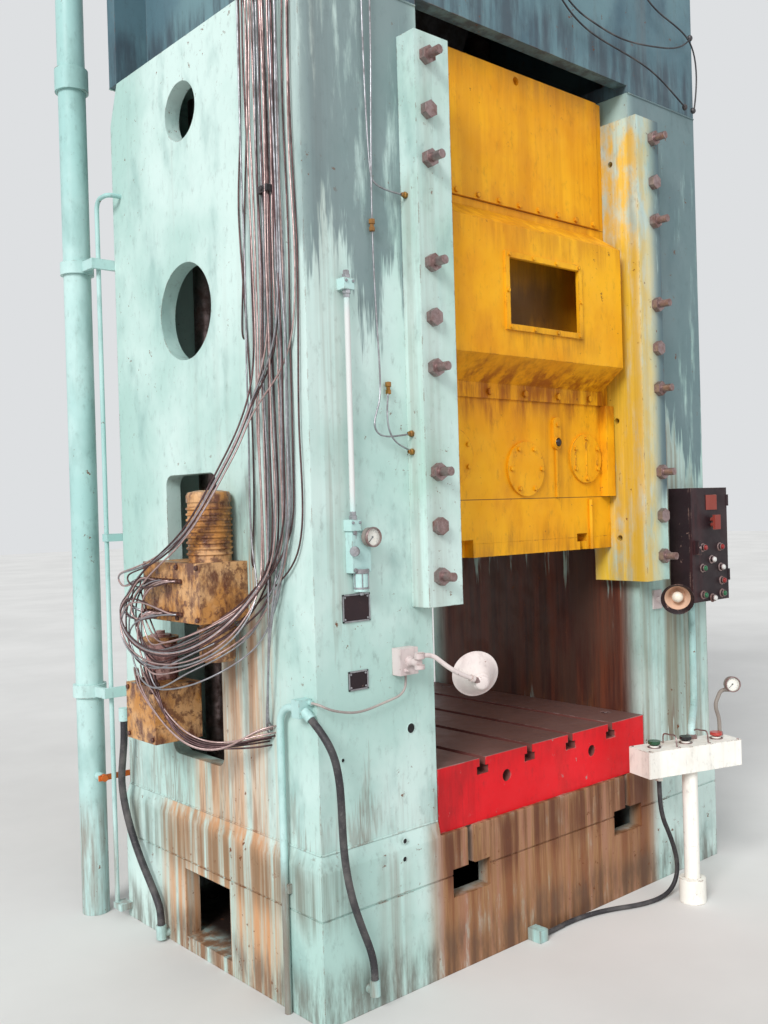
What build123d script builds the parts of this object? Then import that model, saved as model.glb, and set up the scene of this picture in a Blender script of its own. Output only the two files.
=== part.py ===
from build123d import *
from math import acos, cos, pi, radians, sin, sqrt, tan
import os

# Knuckle-joint press with straight sides, in millimetres.
# The origin is on the floor under the ram's axis, +X to the operator's right, +Y to the rear, +Z up.

# Frame
frame_half_width = 1105
frame_half_depth = 625
opening_half_width = 603
side_face = -frame_half_width
front = -frame_half_depth
rear = frame_half_depth
plate = 60
plinth_height = 332
plinth_proud = 14
flange_low = 477
column_foot = 531
bed_table = 483
bed_floor = 50
bed_roof = 380
column_top = 3305
crown_relief = 30
crown_height = 830
crown_side_inset = 140
column_corner_cut_y = 60
column_corner_cut_z = 150

# Ways through the side plates, centred a little behind the ram
side_centre_y = 92
round_low_z = 2332
round_low_radius = 175
round_high_z = 3053
round_high_radius = 105
window_half_width = 174
window_low = 713
window_high = 1745
window_corner = 40
doorway_centre_y = 36
doorway_half_width = 150
doorway_high = 300
anchor_spacing_x = 2 * (frame_half_width - 255)
anchor_spacing_y = 2 * (frame_half_depth - 175)
anchor_radius = 26
keyhole_x = opening_half_width - 145
keyhole_low = 255
keyhole_high = 352
keyhole_half_width = 93
keyhole_slot = 34

# Tie rods
tie_x = (opening_half_width + frame_half_width) / 2 - 34
tie_y = frame_half_depth - 225
tie_radius = 55
tie_nut_radius = 92
tie_nut_height = 90
tie_tail = 30

# Gibs
gib_low = 1270
gib_high = 3175
gib_proud = 85
gib_flange_x = opening_half_width + 91
gib_face_x = opening_half_width - 66
gib_leg_depth = 260
gib_bolt_x = opening_half_width + 42
gib_bolt_heights = (1371, 1538, 1718, 2063, 2230, 2410, 2755, 2915, 3095)
gib_bolt_radius = 15
gib_head_radius = 30
gib_head_height = 24
gib_stud_tail = 45
gib_oil_hole_radius = 12
gib_oil_hole_depth = 30
gib_oil_heights = (1448, 1936, 3003)

# Bolster
bolster_height = 223
bolster_gap = 3
t_slot_places = (-375, -120, 120, 375)
t_slot_neck = 32
t_slot_neck_depth = 30
t_slot_head = 60
t_slot_head_depth = 28
lifting_hole_x = 250
lifting_hole_z = 618
lifting_hole_radius = 22
lifting_hole_depth = 70
bolster_screw_x = opening_half_width - 63
bolster_screw_y = frame_half_depth - 145
bolster_screw_radius = 15
bolster_head_radius = 24
bolster_head_height = 30
screw_reach = 60

# Fits
running = 0.05
seat = 0.3
bolt_room = 0.5

# Knuckle linkage, at rest with the slide up
link_length = 520
crown_pin_z = 3850
half_stroke = 65
pin_radius = 90
bush_wall = 14
hub_radius = 150
lower_link_half = 145
cheek_inner = 150
cheek_outer = 250
ear_inner = 260
ear_outer = 360
block_half_length = 420
block_half_depth = 240
block_base = 50
wrist_plate_inner = 155
wrist_plate_outer = 235
wrist_plate_rise = 200

# Slide
slide_top = 3262
slide_bottom = 1460
slide_nose_gap = 0.4
slide_way_gap = 0.5
slide_nose_half_depth = frame_half_depth - 90
slide_body_gap = 0.5
slide_cavity_x = gib_face_x - 97
slide_cavity_y = frame_half_depth - 245
slide_floor = 120
holder_thickness = 50
holder_half = slide_nose_half_depth - 55
hood_half_width = gib_face_x - 52
hood_wall = 8
hood_proud = 120
hood_foot = 2000
hood_strip_top = 2050
hood_low = 2144
hood_top = 2705
hood_high = hood_top - 82
cover_half_width = gib_face_x - 37
cover_low = hood_top + 30
cover_recess = 12
cover_proud = 8
cover_hole_z = 3228
cover_hole_radius = 16
hood_window_half = 200
hood_window_low = 2260
hood_window_high = 2502
hood_frame = 22
small_head_radius = 11
small_head_height = 8
round_cover_z = 1737
round_cover_radius = 106
right_cover_x = 371
right_cover_z = 1780
right_cover_radius = 100
left_cover_x = -395
left_cover_z = 1785
cover_screw_inset = 18
cover_thickness = 10
sight_x = 187
sight_low = 1815
sight_high = 1943
sight_width = 46
slide_seam_z = 1623
rail_x = (478, 530)
rail_proud = 35
slide_slot_x = (310, 377)
slide_slot_z = (1443, 1475)
slide_slot_neck = 30
slide_notch_x = (-385, -298)
slide_notch_depth = 45

# Drive at the rear
pitman_length = 980
shaft_radius = 110
eccentric_radius = 250
big_end_wall = 80
big_end_half = 90
fork_inner = 271
fork_outer = 341
fork_reach = 300
yoke_depth = 80
yoke_half_height = 100
eye_radius = 140
bracket_hub_radius = 190
bracket_bush_wall = 20
bracket_inner = 360
bracket_outer = 460
bracket_low = 3320
bracket_high = 3760
bracket_flange = 40
outboard_inner = frame_half_width - 75
rear_window_half = 370
rear_window_high = 3700
shaft_left_end = -700
shaft_right_end = frame_half_width + 395
flywheel_radius = 700
flywheel_left = frame_half_width + 75
flywheel_width = 220
flywheel_rim = 130
flywheel_web = 50
flywheel_hub_radius = 190
flywheel_window_radius = 105
flywheel_window_count = 6
clutch_left = flywheel_left + 230
clutch_width = 70
clutch_radius = 260
brake_left = -640
brake_width = 30
brake_radius = 240
brake_cover_left = -690
brake_cover_wall = 12
pulley_radius = 150
pulley_y = 0
motor_axis_rise = 265
belt_count = 5
belt_pitch = 26
belt_width = 14
belt_height = 12
belt_room = 1
groove_depth = 18
guard_gap = 60
guard_wall = 6
guard_depth = 340
motor_left = frame_half_width - 545
motor_right = frame_half_width - 45
motor_radius = 205
motor_shaft_radius = 30
motor_fin = 12
motor_foot = 30

# Lubrication on the left side plate
pump_depth = 187
upper_pump_y = (-262, 112)
upper_pump_z = (1242, 1440)
lower_pump_y = (58, 266)
lower_pump_z = (802, 1002)
pump_motor_radius = 72
pump_motor_high = 1646
reservoir_radius = 58
reservoir_high = 1147
line_radius = 4
line_count = 24
line_low_count = 6
line_spread = 12.2
line_first_y = front + 25
line_room = 11
line_bend_high = 2300
line_bend_low = 1670
line_bundle_top = 34
manifold_x = (side_face + 95, side_face + 155)
manifold_height = 68
outlet_inset = 18
pump_motor_inset = 76

# Air riser behind the left rear corner
riser_x = side_face - 90
riser_y = rear + 150
riser_radius = 54
riser_bore = 48
riser_top = 4000
riser_spigot = 80
riser_socket_z = 3358
riser_socket_radius = 66
riser_socket_height = 90
clamp_heights = (900, 2600)
cock_z = 560
cock_radius = 16
lever_length = 130

# Small pieces on the front of the left column
filter_x = side_face + 169
sight_tube_low = 1552
sight_tube_high = 2314
sight_tube_radius = 9
filter_low = 1341
filter_high = 1569
gauge_radius = 31
gauge_depth = 26
switch_x = -opening_half_width - 149
switch_half = 39
switch_low = 1053
switch_high = 1142
switch_depth = 40
lamp_pivot_y = front - 90
lamp_pivot_z = 1097
lamp_shade_at = (switch_x + 256, front - 104, 1019)
lamp_light_axis = (0.48, 0.848, 0.224)
shade_radius = 80
shade_depth = 62
shade_wall = 2
right_lamp_at = (opening_half_width + 87, front - 123, 1200)
right_lamp_axis = (-0.8, -0.52, -0.3)
right_shade_radius = 66

# Control box and console on the right
box_left = frame_half_width - 275
box_right = frame_half_width + 9
box_low = 1159
box_high = 1649
box_depth = 97
door_thickness = 12
door_lamp_radius = 13
door_lamps = (
    (80, 233),
    (215, 231),
    (148, 179),
    (75, 145),
    (220, 142),
    (225, 83),
    (75, 30),
    (225, 27),
    (148, 12),
)
door_plate_x = (box_left + 114, box_left + 199)
door_plate_z = (box_high - 96, box_high - 31)
door_pull_z = (box_high - 181, box_high - 118)
door_latch_x = (box_left + 14, box_left + 34)
door_latch_z = (box_low + 205, box_low + 265)
console_at = (562, front - 225)
console_turn = -17.5
console_length = 460
console_width = 130
console_high = 630
console_height = 103
console_wall = 4
button_pitch = 155
button_travel = 6
button_cap_radius = 24
pedestal_at = (565, front - 238)
pedestal_radius = 30

# Cord and tube bends
bend_share = 0.45

rest_angle = acos((link_length - half_stroke) / link_length)
wrist_z = crown_pin_z - 2 * (link_length - half_stroke)
knuckle_y = link_length * sin(rest_angle)
knuckle_z = crown_pin_z - link_length * cos(rest_angle)
knuckle_low_z = crown_pin_z - link_length
rear_dead_y = knuckle_y + pitman_length
front_dead_y = sqrt(pitman_length ** 2 - (knuckle_z - knuckle_low_z) ** 2)
shaft_y = (rear_dead_y + front_dead_y) / 2
shaft_z = knuckle_z
crown_top = column_top + crown_height
crown_side = frame_half_width - crown_side_inset
gib_front = front - gib_proud
gib_leg_rear = gib_front + gib_leg_depth
slide_front = -slide_nose_half_depth
slide_body_half_depth = -gib_leg_rear - slide_body_gap
motor_z = crown_top + motor_axis_rise
turn = radians(console_turn)


def block(x, y, z, mode=Mode.ADD):
    """A box given by its low and high end along each axis."""
    with Locations(((x[0] + x[1]) / 2, (y[0] + y[1]) / 2, (z[0] + z[1]) / 2)):
        Box(x[1] - x[0], y[1] - y[0], z[1] - z[0], mode=mode)


def rod(start, end, radius, mode=Mode.ADD):
    """A round bar or hole from one point to another."""
    way = Vector(*end) - Vector(*start)
    with Locations(Plane(origin=start, z_dir=way)):
        Cylinder(radius, way.length, align=(Align.CENTER, Align.CENTER, Align.MIN), mode=mode)


def rod_x(x, y, z, radius, mode=Mode.ADD):
    """A round bar or hole along X, from x[0] to x[1]."""
    rod((x[0], y, z), (x[1], y, z), radius, mode)


def hexagon(at, way, radius, height, bore=0):
    """A hexagon head or nut that stands on a point."""
    with BuildSketch(Plane(origin=at, z_dir=way)) as outline:
        RegularPolygon(radius, 6)
        if bore:
            Circle(bore, mode=Mode.SUBTRACT)
    extrude(outline.sketch, amount=height)


def bend_radii(points):
    """As large a bend at each point as its two runs allow."""
    radii = []
    for before, here, after in zip(points, points[1:], points[2:]):
        first = Vector(*here) - Vector(*before)
        second = Vector(*after) - Vector(*here)
        turn = radians(first.get_angle(second))
        radii.append(bend_share * min(first.length, second.length) / tan(turn / 2))
    return radii


def tube(points, radius, radii=None):
    """A round tube along straight runs joined by arcs."""
    with BuildLine() as route:
        FilletPolyline(*points, radius=radii or bend_radii(points))
    way = Vector(*points[1]) - Vector(*points[0])
    with BuildSketch(Plane(origin=points[0], z_dir=way)) as section:
        Circle(radius)
    sweep(sections=section.sketch, path=route.line)


def on_console(along, across):
    """A place on the console, measured along and across its top."""
    x = console_at[0] + along * cos(turn) - across * sin(turn)
    y = console_at[1] + along * sin(turn) + across * cos(turn)
    return (x, y)


def save(piece, name):
    """Labels a finished piece and writes it."""
    piece.part.label = name
    export_step(piece.part, f"parts/{name}.step")


os.makedirs("parts", exist_ok=True)

# Bed: a welded box with a plinth, a sloped flange under the columns and a lower table between them.
bed_half_width = frame_half_width + plinth_proud
bed_half_depth = frame_half_depth + plinth_proud
rib = opening_half_width
crease = 6
crease_depth = 4
with BuildPart() as bed:
    block((-bed_half_width, bed_half_width), (-bed_half_depth, bed_half_depth), (0, flange_low))
    with BuildSketch(Plane.XY.offset(flange_low)):
        Rectangle(2 * bed_half_width, 2 * bed_half_depth)
    with BuildSketch(Plane.XY.offset(column_foot)):
        Rectangle(2 * frame_half_width, 2 * frame_half_depth)
    loft()
    block(
        (-opening_half_width, opening_half_width),
        (-bed_half_depth - 1, bed_half_depth + 1),
        (bed_table, column_foot + 1),
        Mode.SUBTRACT,
    )
    with BuildSketch(Plane.XY.offset(plinth_height - crease / 2)):
        Rectangle(2 * bed_half_width + 2, 2 * bed_half_depth + 2)
        Rectangle(
            2 * (bed_half_width - crease_depth),
            2 * (bed_half_depth - crease_depth),
            mode=Mode.SUBTRACT,
        )
    extrude(amount=crease, mode=Mode.SUBTRACT)
    inner_y = (-bed_half_depth + plate, bed_half_depth - plate)
    block((-rib + plate / 2, rib - plate / 2), inner_y, (bed_floor, bed_roof), Mode.SUBTRACT)
    for side in (-1, 1):
        cell = sorted((side * (rib + plate / 2), side * (bed_half_width - plate)))
        block(cell, inner_y, (bed_floor, bed_roof), Mode.SUBTRACT)
        door = sorted((side * (bed_half_width - plate - 1), side * (bed_half_width + 1)))
        door_y = (doorway_centre_y - doorway_half_width, doorway_centre_y + doorway_half_width)
        block(door, door_y, (bed_floor, doorway_high), Mode.SUBTRACT)
        keyhole_span = (side * keyhole_x - keyhole_half_width, side * keyhole_x + keyhole_half_width)
        front_plate_y = (-bed_half_depth - 1, -bed_half_depth + plate + 1)
        block(keyhole_span, front_plate_y, (keyhole_low, keyhole_high), Mode.SUBTRACT)
        slot_x = (side * keyhole_x - keyhole_slot / 2, side * keyhole_x + keyhole_slot / 2)
        block(
            slot_x,
            (-bed_half_depth - 1, -bed_half_depth + plate),
            (keyhole_high - 1, bed_table + 1),
            Mode.SUBTRACT,
        )
        for depth in (-1, 1):
            tie_at = (side * tie_x, depth * tie_y)
            rod((*tie_at, bed_roof - 1), (*tie_at, column_foot + 1), tie_radius + bolt_room, Mode.SUBTRACT)
            anchor_at = (side * anchor_spacing_x / 2, depth * anchor_spacing_y / 2)
            rod((*anchor_at, -1), (*anchor_at, bed_floor + 1), anchor_radius, Mode.SUBTRACT)
            screw_at = (side * bolster_screw_x, depth * bolster_screw_y)
            rod(
                (*screw_at, bed_table - screw_reach),
                (*screw_at, bed_table + 1),
                bolster_screw_radius + bolt_room,
                Mode.SUBTRACT,
            )
save(bed, "bed")


def make_column(side):
    """One box column; side is -1 for the left one and 1 for the right one."""
    outer_x = sorted((side * opening_half_width, side * frame_half_width))
    inner_x = (outer_x[0] + plate, outer_x[1] - plate)
    skin = sorted((side * (frame_half_width - plate - 1), side * (frame_half_width + 1)))
    with BuildPart() as column:
        block(outer_x, (front, rear), (column_foot, column_top))
        inner_z = (column_foot + plate, column_top - plate)
        block(inner_x, (front + plate, rear - plate), inner_z, Mode.SUBTRACT)
        rod_x(skin, side_centre_y, round_low_z, round_low_radius, Mode.SUBTRACT)
        rod_x(skin, side_centre_y, round_high_z, round_high_radius, Mode.SUBTRACT)
        with BuildSketch(Plane.YZ.offset(skin[0])):
            with Locations((side_centre_y, (window_low + window_high) / 2)):
                RectangleRounded(2 * window_half_width, window_high - window_low, window_corner)
        extrude(amount=skin[1] - skin[0], mode=Mode.SUBTRACT)
        with BuildSketch(Plane.YZ.offset(outer_x[0] - 1)):
            Polygon(
                (rear - column_corner_cut_y, column_top),
                (rear, column_top - column_corner_cut_z),
                (rear + 1, column_top - column_corner_cut_z),
                (rear + 1, column_top + 1),
                (rear - column_corner_cut_y, column_top + 1),
                align=None,
            )
        extrude(amount=outer_x[1] - outer_x[0] + 2, mode=Mode.SUBTRACT)
        for depth in (-1, 1):
            tie_at = (side * tie_x, depth * tie_y)
            rod((*tie_at, column_foot - 1), (*tie_at, column_top + 1), tie_radius + bolt_room, Mode.SUBTRACT)
            for height in gib_bolt_heights:
                rod(
                    (side * gib_bolt_x, depth * (frame_half_depth + 1), height),
                    (side * gib_bolt_x, depth * (frame_half_depth - plate), height),
                    gib_bolt_radius + bolt_room,
                    Mode.SUBTRACT,
                )
    return column


left_column = make_column(-1)
save(left_column, "left_column")
right_column = make_column(1)
save(right_column, "right_column")

# Crown: front, rear and top plates with inset sides, standing on both columns.
crown_inner_y = (front + plate, rear - plate)
with BuildPart() as crown:
    for y in ((front, front + plate), (rear - plate, rear)):
        block((-frame_half_width, frame_half_width), y, (column_top, crown_top))
    block((-frame_half_width, frame_half_width), crown_inner_y, (crown_top - plate, crown_top))
    for side in (-1, 1):
        block(
            sorted((side * (crown_side - plate), side * crown_side)),
            crown_inner_y,
            (column_top, crown_top),
        )
        foot_x = sorted((side * opening_half_width, side * crown_side))
        block(foot_x, crown_inner_y, (column_top, column_top + plate))
    block(
        (-opening_half_width, opening_half_width),
        (front - 1, front + plate + 1),
        (column_top - 1, column_top + crown_relief),
        Mode.SUBTRACT,
    )
    block(
        (-rear_window_half, rear_window_half),
        (rear - plate - 1, rear + 1),
        (column_top - 1, rear_window_high),
        Mode.SUBTRACT,
    )
    for side in (-1, 1):
        for depth in (-1, 1):
            tie_at = (side * tie_x, depth * tie_y)
            rod((*tie_at, column_top - 1), (*tie_at, crown_top + 1), tie_radius + bolt_room, Mode.SUBTRACT)
save(crown, "crown")

# Tie rods: four long rods, each with a hexagon nut under the bed's roof and one on the crown.
with BuildPart() as tie_rods:
    for side in (-1, 1):
        for depth in (-1, 1):
            tie_at = (side * tie_x, depth * tie_y)
            low = bed_roof - tie_nut_height - tie_tail
            high = crown_top + tie_nut_height + tie_tail
            rod((*tie_at, low), (*tie_at, high), tie_radius)
            hexagon((*tie_at, crown_top), (0, 0, 1), tie_nut_radius, tie_nut_height, tie_radius + running)
            hexagon((*tie_at, bed_roof), (0, 0, -1), tie_nut_radius, tie_nut_height, tie_radius + running)
save(tie_rods, "tie_rods")


# Gibs: four L-shaped guide bars, bolted on the front and the rear of the columns.
with BuildPart() as gibs:
    for depth in (-1, 1):
        for side in (-1, 1):
            flange_x = sorted((side * gib_face_x, side * gib_flange_x))
            leg_x = sorted((side * gib_face_x, side * opening_half_width))
            block(flange_x, sorted((depth * frame_half_depth, -depth * gib_front)), (gib_low, gib_high))
            block(leg_x, sorted((-depth * gib_leg_rear, -depth * gib_front)), (gib_low, gib_high))
            for height in gib_bolt_heights:
                rod(
                    (side * gib_bolt_x, depth * (frame_half_depth - 1), height),
                    (side * gib_bolt_x, -depth * (gib_front - 1), height),
                    gib_bolt_radius + bolt_room,
                    Mode.SUBTRACT,
                )
            for height in gib_oil_heights:
                rod(
                    (side * (gib_face_x - 1), -depth * (gib_front + gib_leg_depth / 2), height),
                    (side * (gib_face_x + gib_oil_hole_depth), -depth * (gib_front + gib_leg_depth / 2), height),
                    gib_oil_hole_radius,
                    Mode.SUBTRACT,
                )
save(gibs, "gibs")

# Gib fasteners: in each group of three, a hexagon bolt between two studs with nuts.
with BuildPart() as gib_fasteners:
    for side in (-1, 1):
        for depth in (-1, 1):
            face = -depth * gib_front
            root = depth * (frame_half_depth - plate)
            for index, height in enumerate(gib_bolt_heights):
                at = (side * gib_bolt_x, face, height)
                deep = (side * gib_bolt_x, root, height)
                way = (0, depth, 0)
                if index % 3 == 1:
                    rod(deep, at, gib_bolt_radius)
                    hexagon(at, way, gib_head_radius, gib_head_height)
                else:
                    tail = face + depth * (gib_head_height + gib_stud_tail)
                    rod(deep, (side * gib_bolt_x, tail, height), gib_bolt_radius)
                    hexagon(at, way, gib_head_radius, gib_head_height, gib_bolt_radius + running)
save(gib_fasteners, "gib_fasteners")

# Bolster: the red plate on the bed's table, with T slots from front to rear.
bolster_half = opening_half_width - bolster_gap
bolster_top = bed_table + bolster_height
with BuildPart() as bolster:
    block((-bolster_half, bolster_half), (front, rear), (bed_table, bolster_top))
    for place in t_slot_places:
        neck_x = (place - t_slot_neck / 2, place + t_slot_neck / 2)
        head_x = (place - t_slot_head / 2, place + t_slot_head / 2)
        neck_low = bolster_top - t_slot_neck_depth
        block(neck_x, (front - 1, rear + 1), (neck_low - 1, bolster_top + 1), Mode.SUBTRACT)
        block(head_x, (front - 1, rear + 1), (neck_low - t_slot_head_depth, neck_low), Mode.SUBTRACT)
    for side in (-1, 1):
        rod(
            (side * lifting_hole_x, front - 1, lifting_hole_z),
            (side * lifting_hole_x, front + lifting_hole_depth, lifting_hole_z),
            lifting_hole_radius,
            Mode.SUBTRACT,
        )
        for depth in (-1, 1):
            screw_at = (side * bolster_screw_x, depth * bolster_screw_y)
            rod(
                (*screw_at, bed_table - 1),
                (*screw_at, bolster_top),
                bolster_screw_radius + bolt_room,
                Mode.SUBTRACT,
            )
            sink = bolster_top - bolster_head_height - bolt_room
            rod(
                (*screw_at, sink),
                (*screw_at, bolster_top + 1),
                bolster_head_radius + bolt_room,
                Mode.SUBTRACT,
            )
save(bolster, "bolster")

# Bolster screws: four socket-head screws sunk in the bolster's corners.
with BuildPart() as bolster_screws:
    for side in (-1, 1):
        for depth in (-1, 1):
            screw_at = (side * bolster_screw_x, depth * bolster_screw_y)
            sink = bolster_top - bolster_head_height - bolt_room
            rod((*screw_at, bed_table - screw_reach), (*screw_at, sink + 1), bolster_screw_radius)
            rod((*screw_at, sink), (*screw_at, sink + bolster_head_height), bolster_head_radius)
            with BuildSketch(Plane.XY.offset(sink + bolster_head_height / 2)) as socket:
                with Locations(screw_at):
                    RegularPolygon(bolster_head_radius / 2, 6)
            extrude(socket.sketch, amount=bolster_head_height, mode=Mode.SUBTRACT)
save(bolster_screws, "bolster_screws")

# Crown block: a thick base bolted under the crown's top plate, with two ears for the crown pin.
block_top = crown_top - plate
with BuildPart() as crown_block:
    block(
        (-block_half_length, block_half_length),
        (-block_half_depth, block_half_depth),
        (block_top - block_base, block_top),
    )
    for side in (-1, 1):
        low = min(side * ear_inner, side * ear_outer)
        with BuildSketch(Plane.YZ.offset(low)) as ear:
            with Locations((0, crown_pin_z)):
                Circle(hub_radius)
            with Locations((0, block_top - block_base)):
                Rectangle(2 * block_half_depth, 2)
            make_hull()
        extrude(ear.sketch, amount=ear_outer - ear_inner)
    rod_x((-ear_outer - 1, ear_outer + 1), 0, crown_pin_z, pin_radius + running, Mode.SUBTRACT)
save(crown_block, "crown_block")

# Crown pin: a plain ground pin held by the block's ears.
with BuildPart() as crown_pin:
    rod_x((-ear_outer, ear_outer), 0, crown_pin_z, pin_radius)
save(crown_pin, "crown_pin")

# Upper link: a forged link that forks below to take the lower link.
fork_room = 30
with BuildPart() as upper_link:
    with BuildSketch(Plane.YZ) as outline:
        with Locations((0, crown_pin_z), (knuckle_y, knuckle_z)):
            Circle(hub_radius)
        make_hull()
    extrude(outline.sketch, amount=cheek_outer, both=True)
    rod_x((-cheek_inner, cheek_inner), knuckle_y, knuckle_z, hub_radius + fork_room, Mode.SUBTRACT)
    rod_x((-cheek_outer - 1, cheek_outer + 1), 0, crown_pin_z, pin_radius + bush_wall, Mode.SUBTRACT)
    rod_x((-cheek_outer - 1, cheek_outer + 1), knuckle_y, knuckle_z, pin_radius + running, Mode.SUBTRACT)
save(upper_link, "upper_link")


def make_bush(x, y, z, bore, wall):
    """A plain bronze bush along X inside the open part."""
    rod_x(x, y, z, bore + wall - running)
    rod_x((x[0] - 1, x[1] + 1), y, z, bore + running, Mode.SUBTRACT)


with BuildPart() as upper_link_bush:
    make_bush((-cheek_outer, cheek_outer), 0, crown_pin_z, pin_radius, bush_wall)
save(upper_link_bush, "upper_link_bush")

# Knuckle pin: carried by the fork of the upper link.
knuckle_pin_half = fork_inner - 1
with BuildPart() as knuckle_pin:
    rod_x((-knuckle_pin_half, knuckle_pin_half), knuckle_y, knuckle_z, pin_radius)
save(knuckle_pin, "knuckle_pin")

# Lower link: from the knuckle pin down to the wrist pin in the slide.
with BuildPart() as lower_link:
    with BuildSketch(Plane.YZ) as outline:
        with Locations((0, wrist_z), (knuckle_y, knuckle_z)):
            Circle(hub_radius)
        make_hull()
    extrude(outline.sketch, amount=lower_link_half, both=True)
    for y, z in ((0, wrist_z), (knuckle_y, knuckle_z)):
        rod_x((-lower_link_half - 1, lower_link_half + 1), y, z, pin_radius + bush_wall, Mode.SUBTRACT)
save(lower_link, "lower_link")

with BuildPart() as lower_link_bushes:
    for y, z in ((0, wrist_z), (knuckle_y, knuckle_z)):
        make_bush((-lower_link_half, lower_link_half), y, z, pin_radius, bush_wall)
save(lower_link_bushes, "lower_link_bushes")

# Slide: the yellow ram, a deep box open at the top, with a narrower nose front and rear for the gibs.
slide_half_nose = gib_face_x - slide_nose_gap
slide_half_body = opening_half_width - slide_way_gap
slot_y = (-slide_nose_half_depth - 1, slide_nose_half_depth + 1)
notch_y = (slide_front - 1, slide_front + slide_notch_depth)
with BuildPart() as slide:
    nose_y = (-slide_nose_half_depth, slide_nose_half_depth)
    block((-slide_half_nose, slide_half_nose), nose_y, (slide_bottom, slide_top))
    body_y = (-slide_body_half_depth, slide_body_half_depth)
    block((-slide_half_body, slide_half_body), body_y, (slide_bottom, slide_top))
    cavity_y = (-slide_cavity_y, slide_cavity_y)
    cavity_z = (slide_bottom + slide_floor, slide_top + 1)
    block((-slide_cavity_x, slide_cavity_x), cavity_y, cavity_z, Mode.SUBTRACT)
    for side in (-1, 1):
        plate_x = sorted((side * wrist_plate_inner, side * wrist_plate_outer))
        block(plate_x, cavity_y, (slide_bottom + slide_floor, wrist_z + wrist_plate_rise))
    rod_x((-wrist_plate_outer - 1, wrist_plate_outer + 1), 0, wrist_z, pin_radius + running, Mode.SUBTRACT)
    recess_x = (-cover_half_width - seat, cover_half_width + seat)
    recess_y = (slide_front - 1, slide_front + cover_recess)
    block(recess_x, recess_y, (cover_low - seat, slide_top + 1), Mode.SUBTRACT)
    block(slide_slot_x, slot_y, (slide_bottom - 1, slide_slot_z[1]), Mode.SUBTRACT)
    block(slide_notch_x, notch_y, (slide_bottom - 1, slide_slot_z[1]), Mode.SUBTRACT)
save(slide, "slide")

with BuildPart() as wrist_pin:
    rod_x((-wrist_plate_outer, wrist_plate_outer), 0, wrist_z, pin_radius)
save(wrist_pin, "wrist_pin")

# Upper cover: a flat plate let into the slide's front, with a hole near its top edge.
cover_face = slide_front - cover_proud
with BuildPart() as slide_cover:
    cover_y = (cover_face, slide_front + cover_recess)
    block((-cover_half_width, cover_half_width), cover_y, (cover_low, slide_top))
    rod(
        (0, cover_face - 1, cover_hole_z),
        (0, slide_front + cover_recess + 1, cover_hole_z),
        cover_hole_radius,
        Mode.SUBTRACT,
    )
save(slide_cover, "slide_cover")

# Hood: a folded sheet box over the adjusting gear, with a framed window and a slanted underside.
hood_face = slide_front - hood_proud


def hood_profile(inset):
    """The hood's side outline, drawn smaller all round by the sheet's thickness."""
    slope = (hood_top - hood_high) / hood_proud
    under = (hood_low - hood_strip_top) / hood_proud
    return (
        (slide_front + 1, hood_top - inset * sqrt(1 + slope ** 2) + slope),
        (hood_face + inset, hood_high - inset * (sqrt(1 + slope ** 2) - slope)),
        (hood_face + inset, hood_low + inset * (sqrt(1 + under ** 2) - under)),
        (slide_front + 1, hood_strip_top + inset * sqrt(1 + under ** 2) - under),
    )


with BuildPart() as slide_hood:
    with BuildSketch(Plane.YZ.offset(-hood_half_width)) as outer:
        Polygon(*hood_profile(0), align=None)
    extrude(outer.sketch, amount=2 * hood_half_width)
    with BuildSketch(Plane.YZ.offset(-hood_half_width + hood_wall)) as inner:
        Polygon(*hood_profile(hood_wall), align=None)
    extrude(inner.sketch, amount=2 * (hood_half_width - hood_wall), mode=Mode.SUBTRACT)
    block(
        (-hood_half_width, hood_half_width),
        (slide_front - hood_wall, slide_front),
        (hood_foot, hood_strip_top + hood_wall),
    )
    frame_x = (-hood_window_half - hood_frame, hood_window_half + hood_frame)
    frame_z = (hood_window_low - hood_frame, hood_window_high + hood_frame)
    block(frame_x, (hood_face - hood_wall, hood_face + 1), frame_z)
    window_x = (-hood_window_half, hood_window_half)
    window_z = (hood_window_low, hood_window_high)
    block(window_x, (hood_face - hood_wall - 1, hood_face + hood_wall + 1), window_z, Mode.SUBTRACT)
    block(
        (-hood_half_width - 1, hood_half_width + 1),
        (slide_front, slide_front + 2),
        (hood_foot, hood_top + 9),
        Mode.SUBTRACT,
    )
save(slide_hood, "slide_hood")

holder_low = slide_bottom - holder_thickness

# Slide fittings: three round covers, the split one with ribs over its joints, the oil sight with its channel,
# the drain rod and the rail at the front face's right edge.
rib_half = 3
rib_y = (slide_front - cover_thickness - 3, slide_front - cover_thickness)
with BuildPart() as slide_fittings:
    for x, z, radius in (
        (0, round_cover_z, round_cover_radius),
        (right_cover_x, right_cover_z, right_cover_radius),
        (left_cover_x, left_cover_z, right_cover_radius),
    ):
        rod((x, slide_front, z), (x, slide_front - cover_thickness, z), radius)
    for shift, half_height in ((-70, 26), (0, 66), (70, 26)):
        rib_x = (right_cover_x + shift - rib_half, right_cover_x + shift + rib_half)
        block(rib_x, rib_y, (right_cover_z - half_height, right_cover_z + half_height))
    sight_x_span = (sight_x - sight_width / 2, sight_x + sight_width / 2)
    sight_round = (sight_low + sight_width / 2, sight_high - sight_width / 2)
    block(sight_x_span, (slide_front - 14, slide_front), sight_round)
    for z in sight_round:
        rod((sight_x, slide_front, z), (sight_x, slide_front - 14, z), sight_width / 2)
    block((sight_x - 5, sight_x + 5), (slide_front - 8, slide_front), (slide_seam_z, sight_low + 1))
    drain_x = right_cover_x + 22
    rod((drain_x, slide_front - 8, holder_low), (drain_x, slide_front - 8, slide_seam_z - 10), 8)
    block((drain_x - 5, drain_x + 5), (slide_front - 8, slide_front), (holder_low, slide_seam_z - 10))
    block(rail_x, (slide_front - rail_proud, slide_front), (slide_seam_z, hood_foot - 2))
save(slide_fittings, "slide_fittings")

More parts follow.
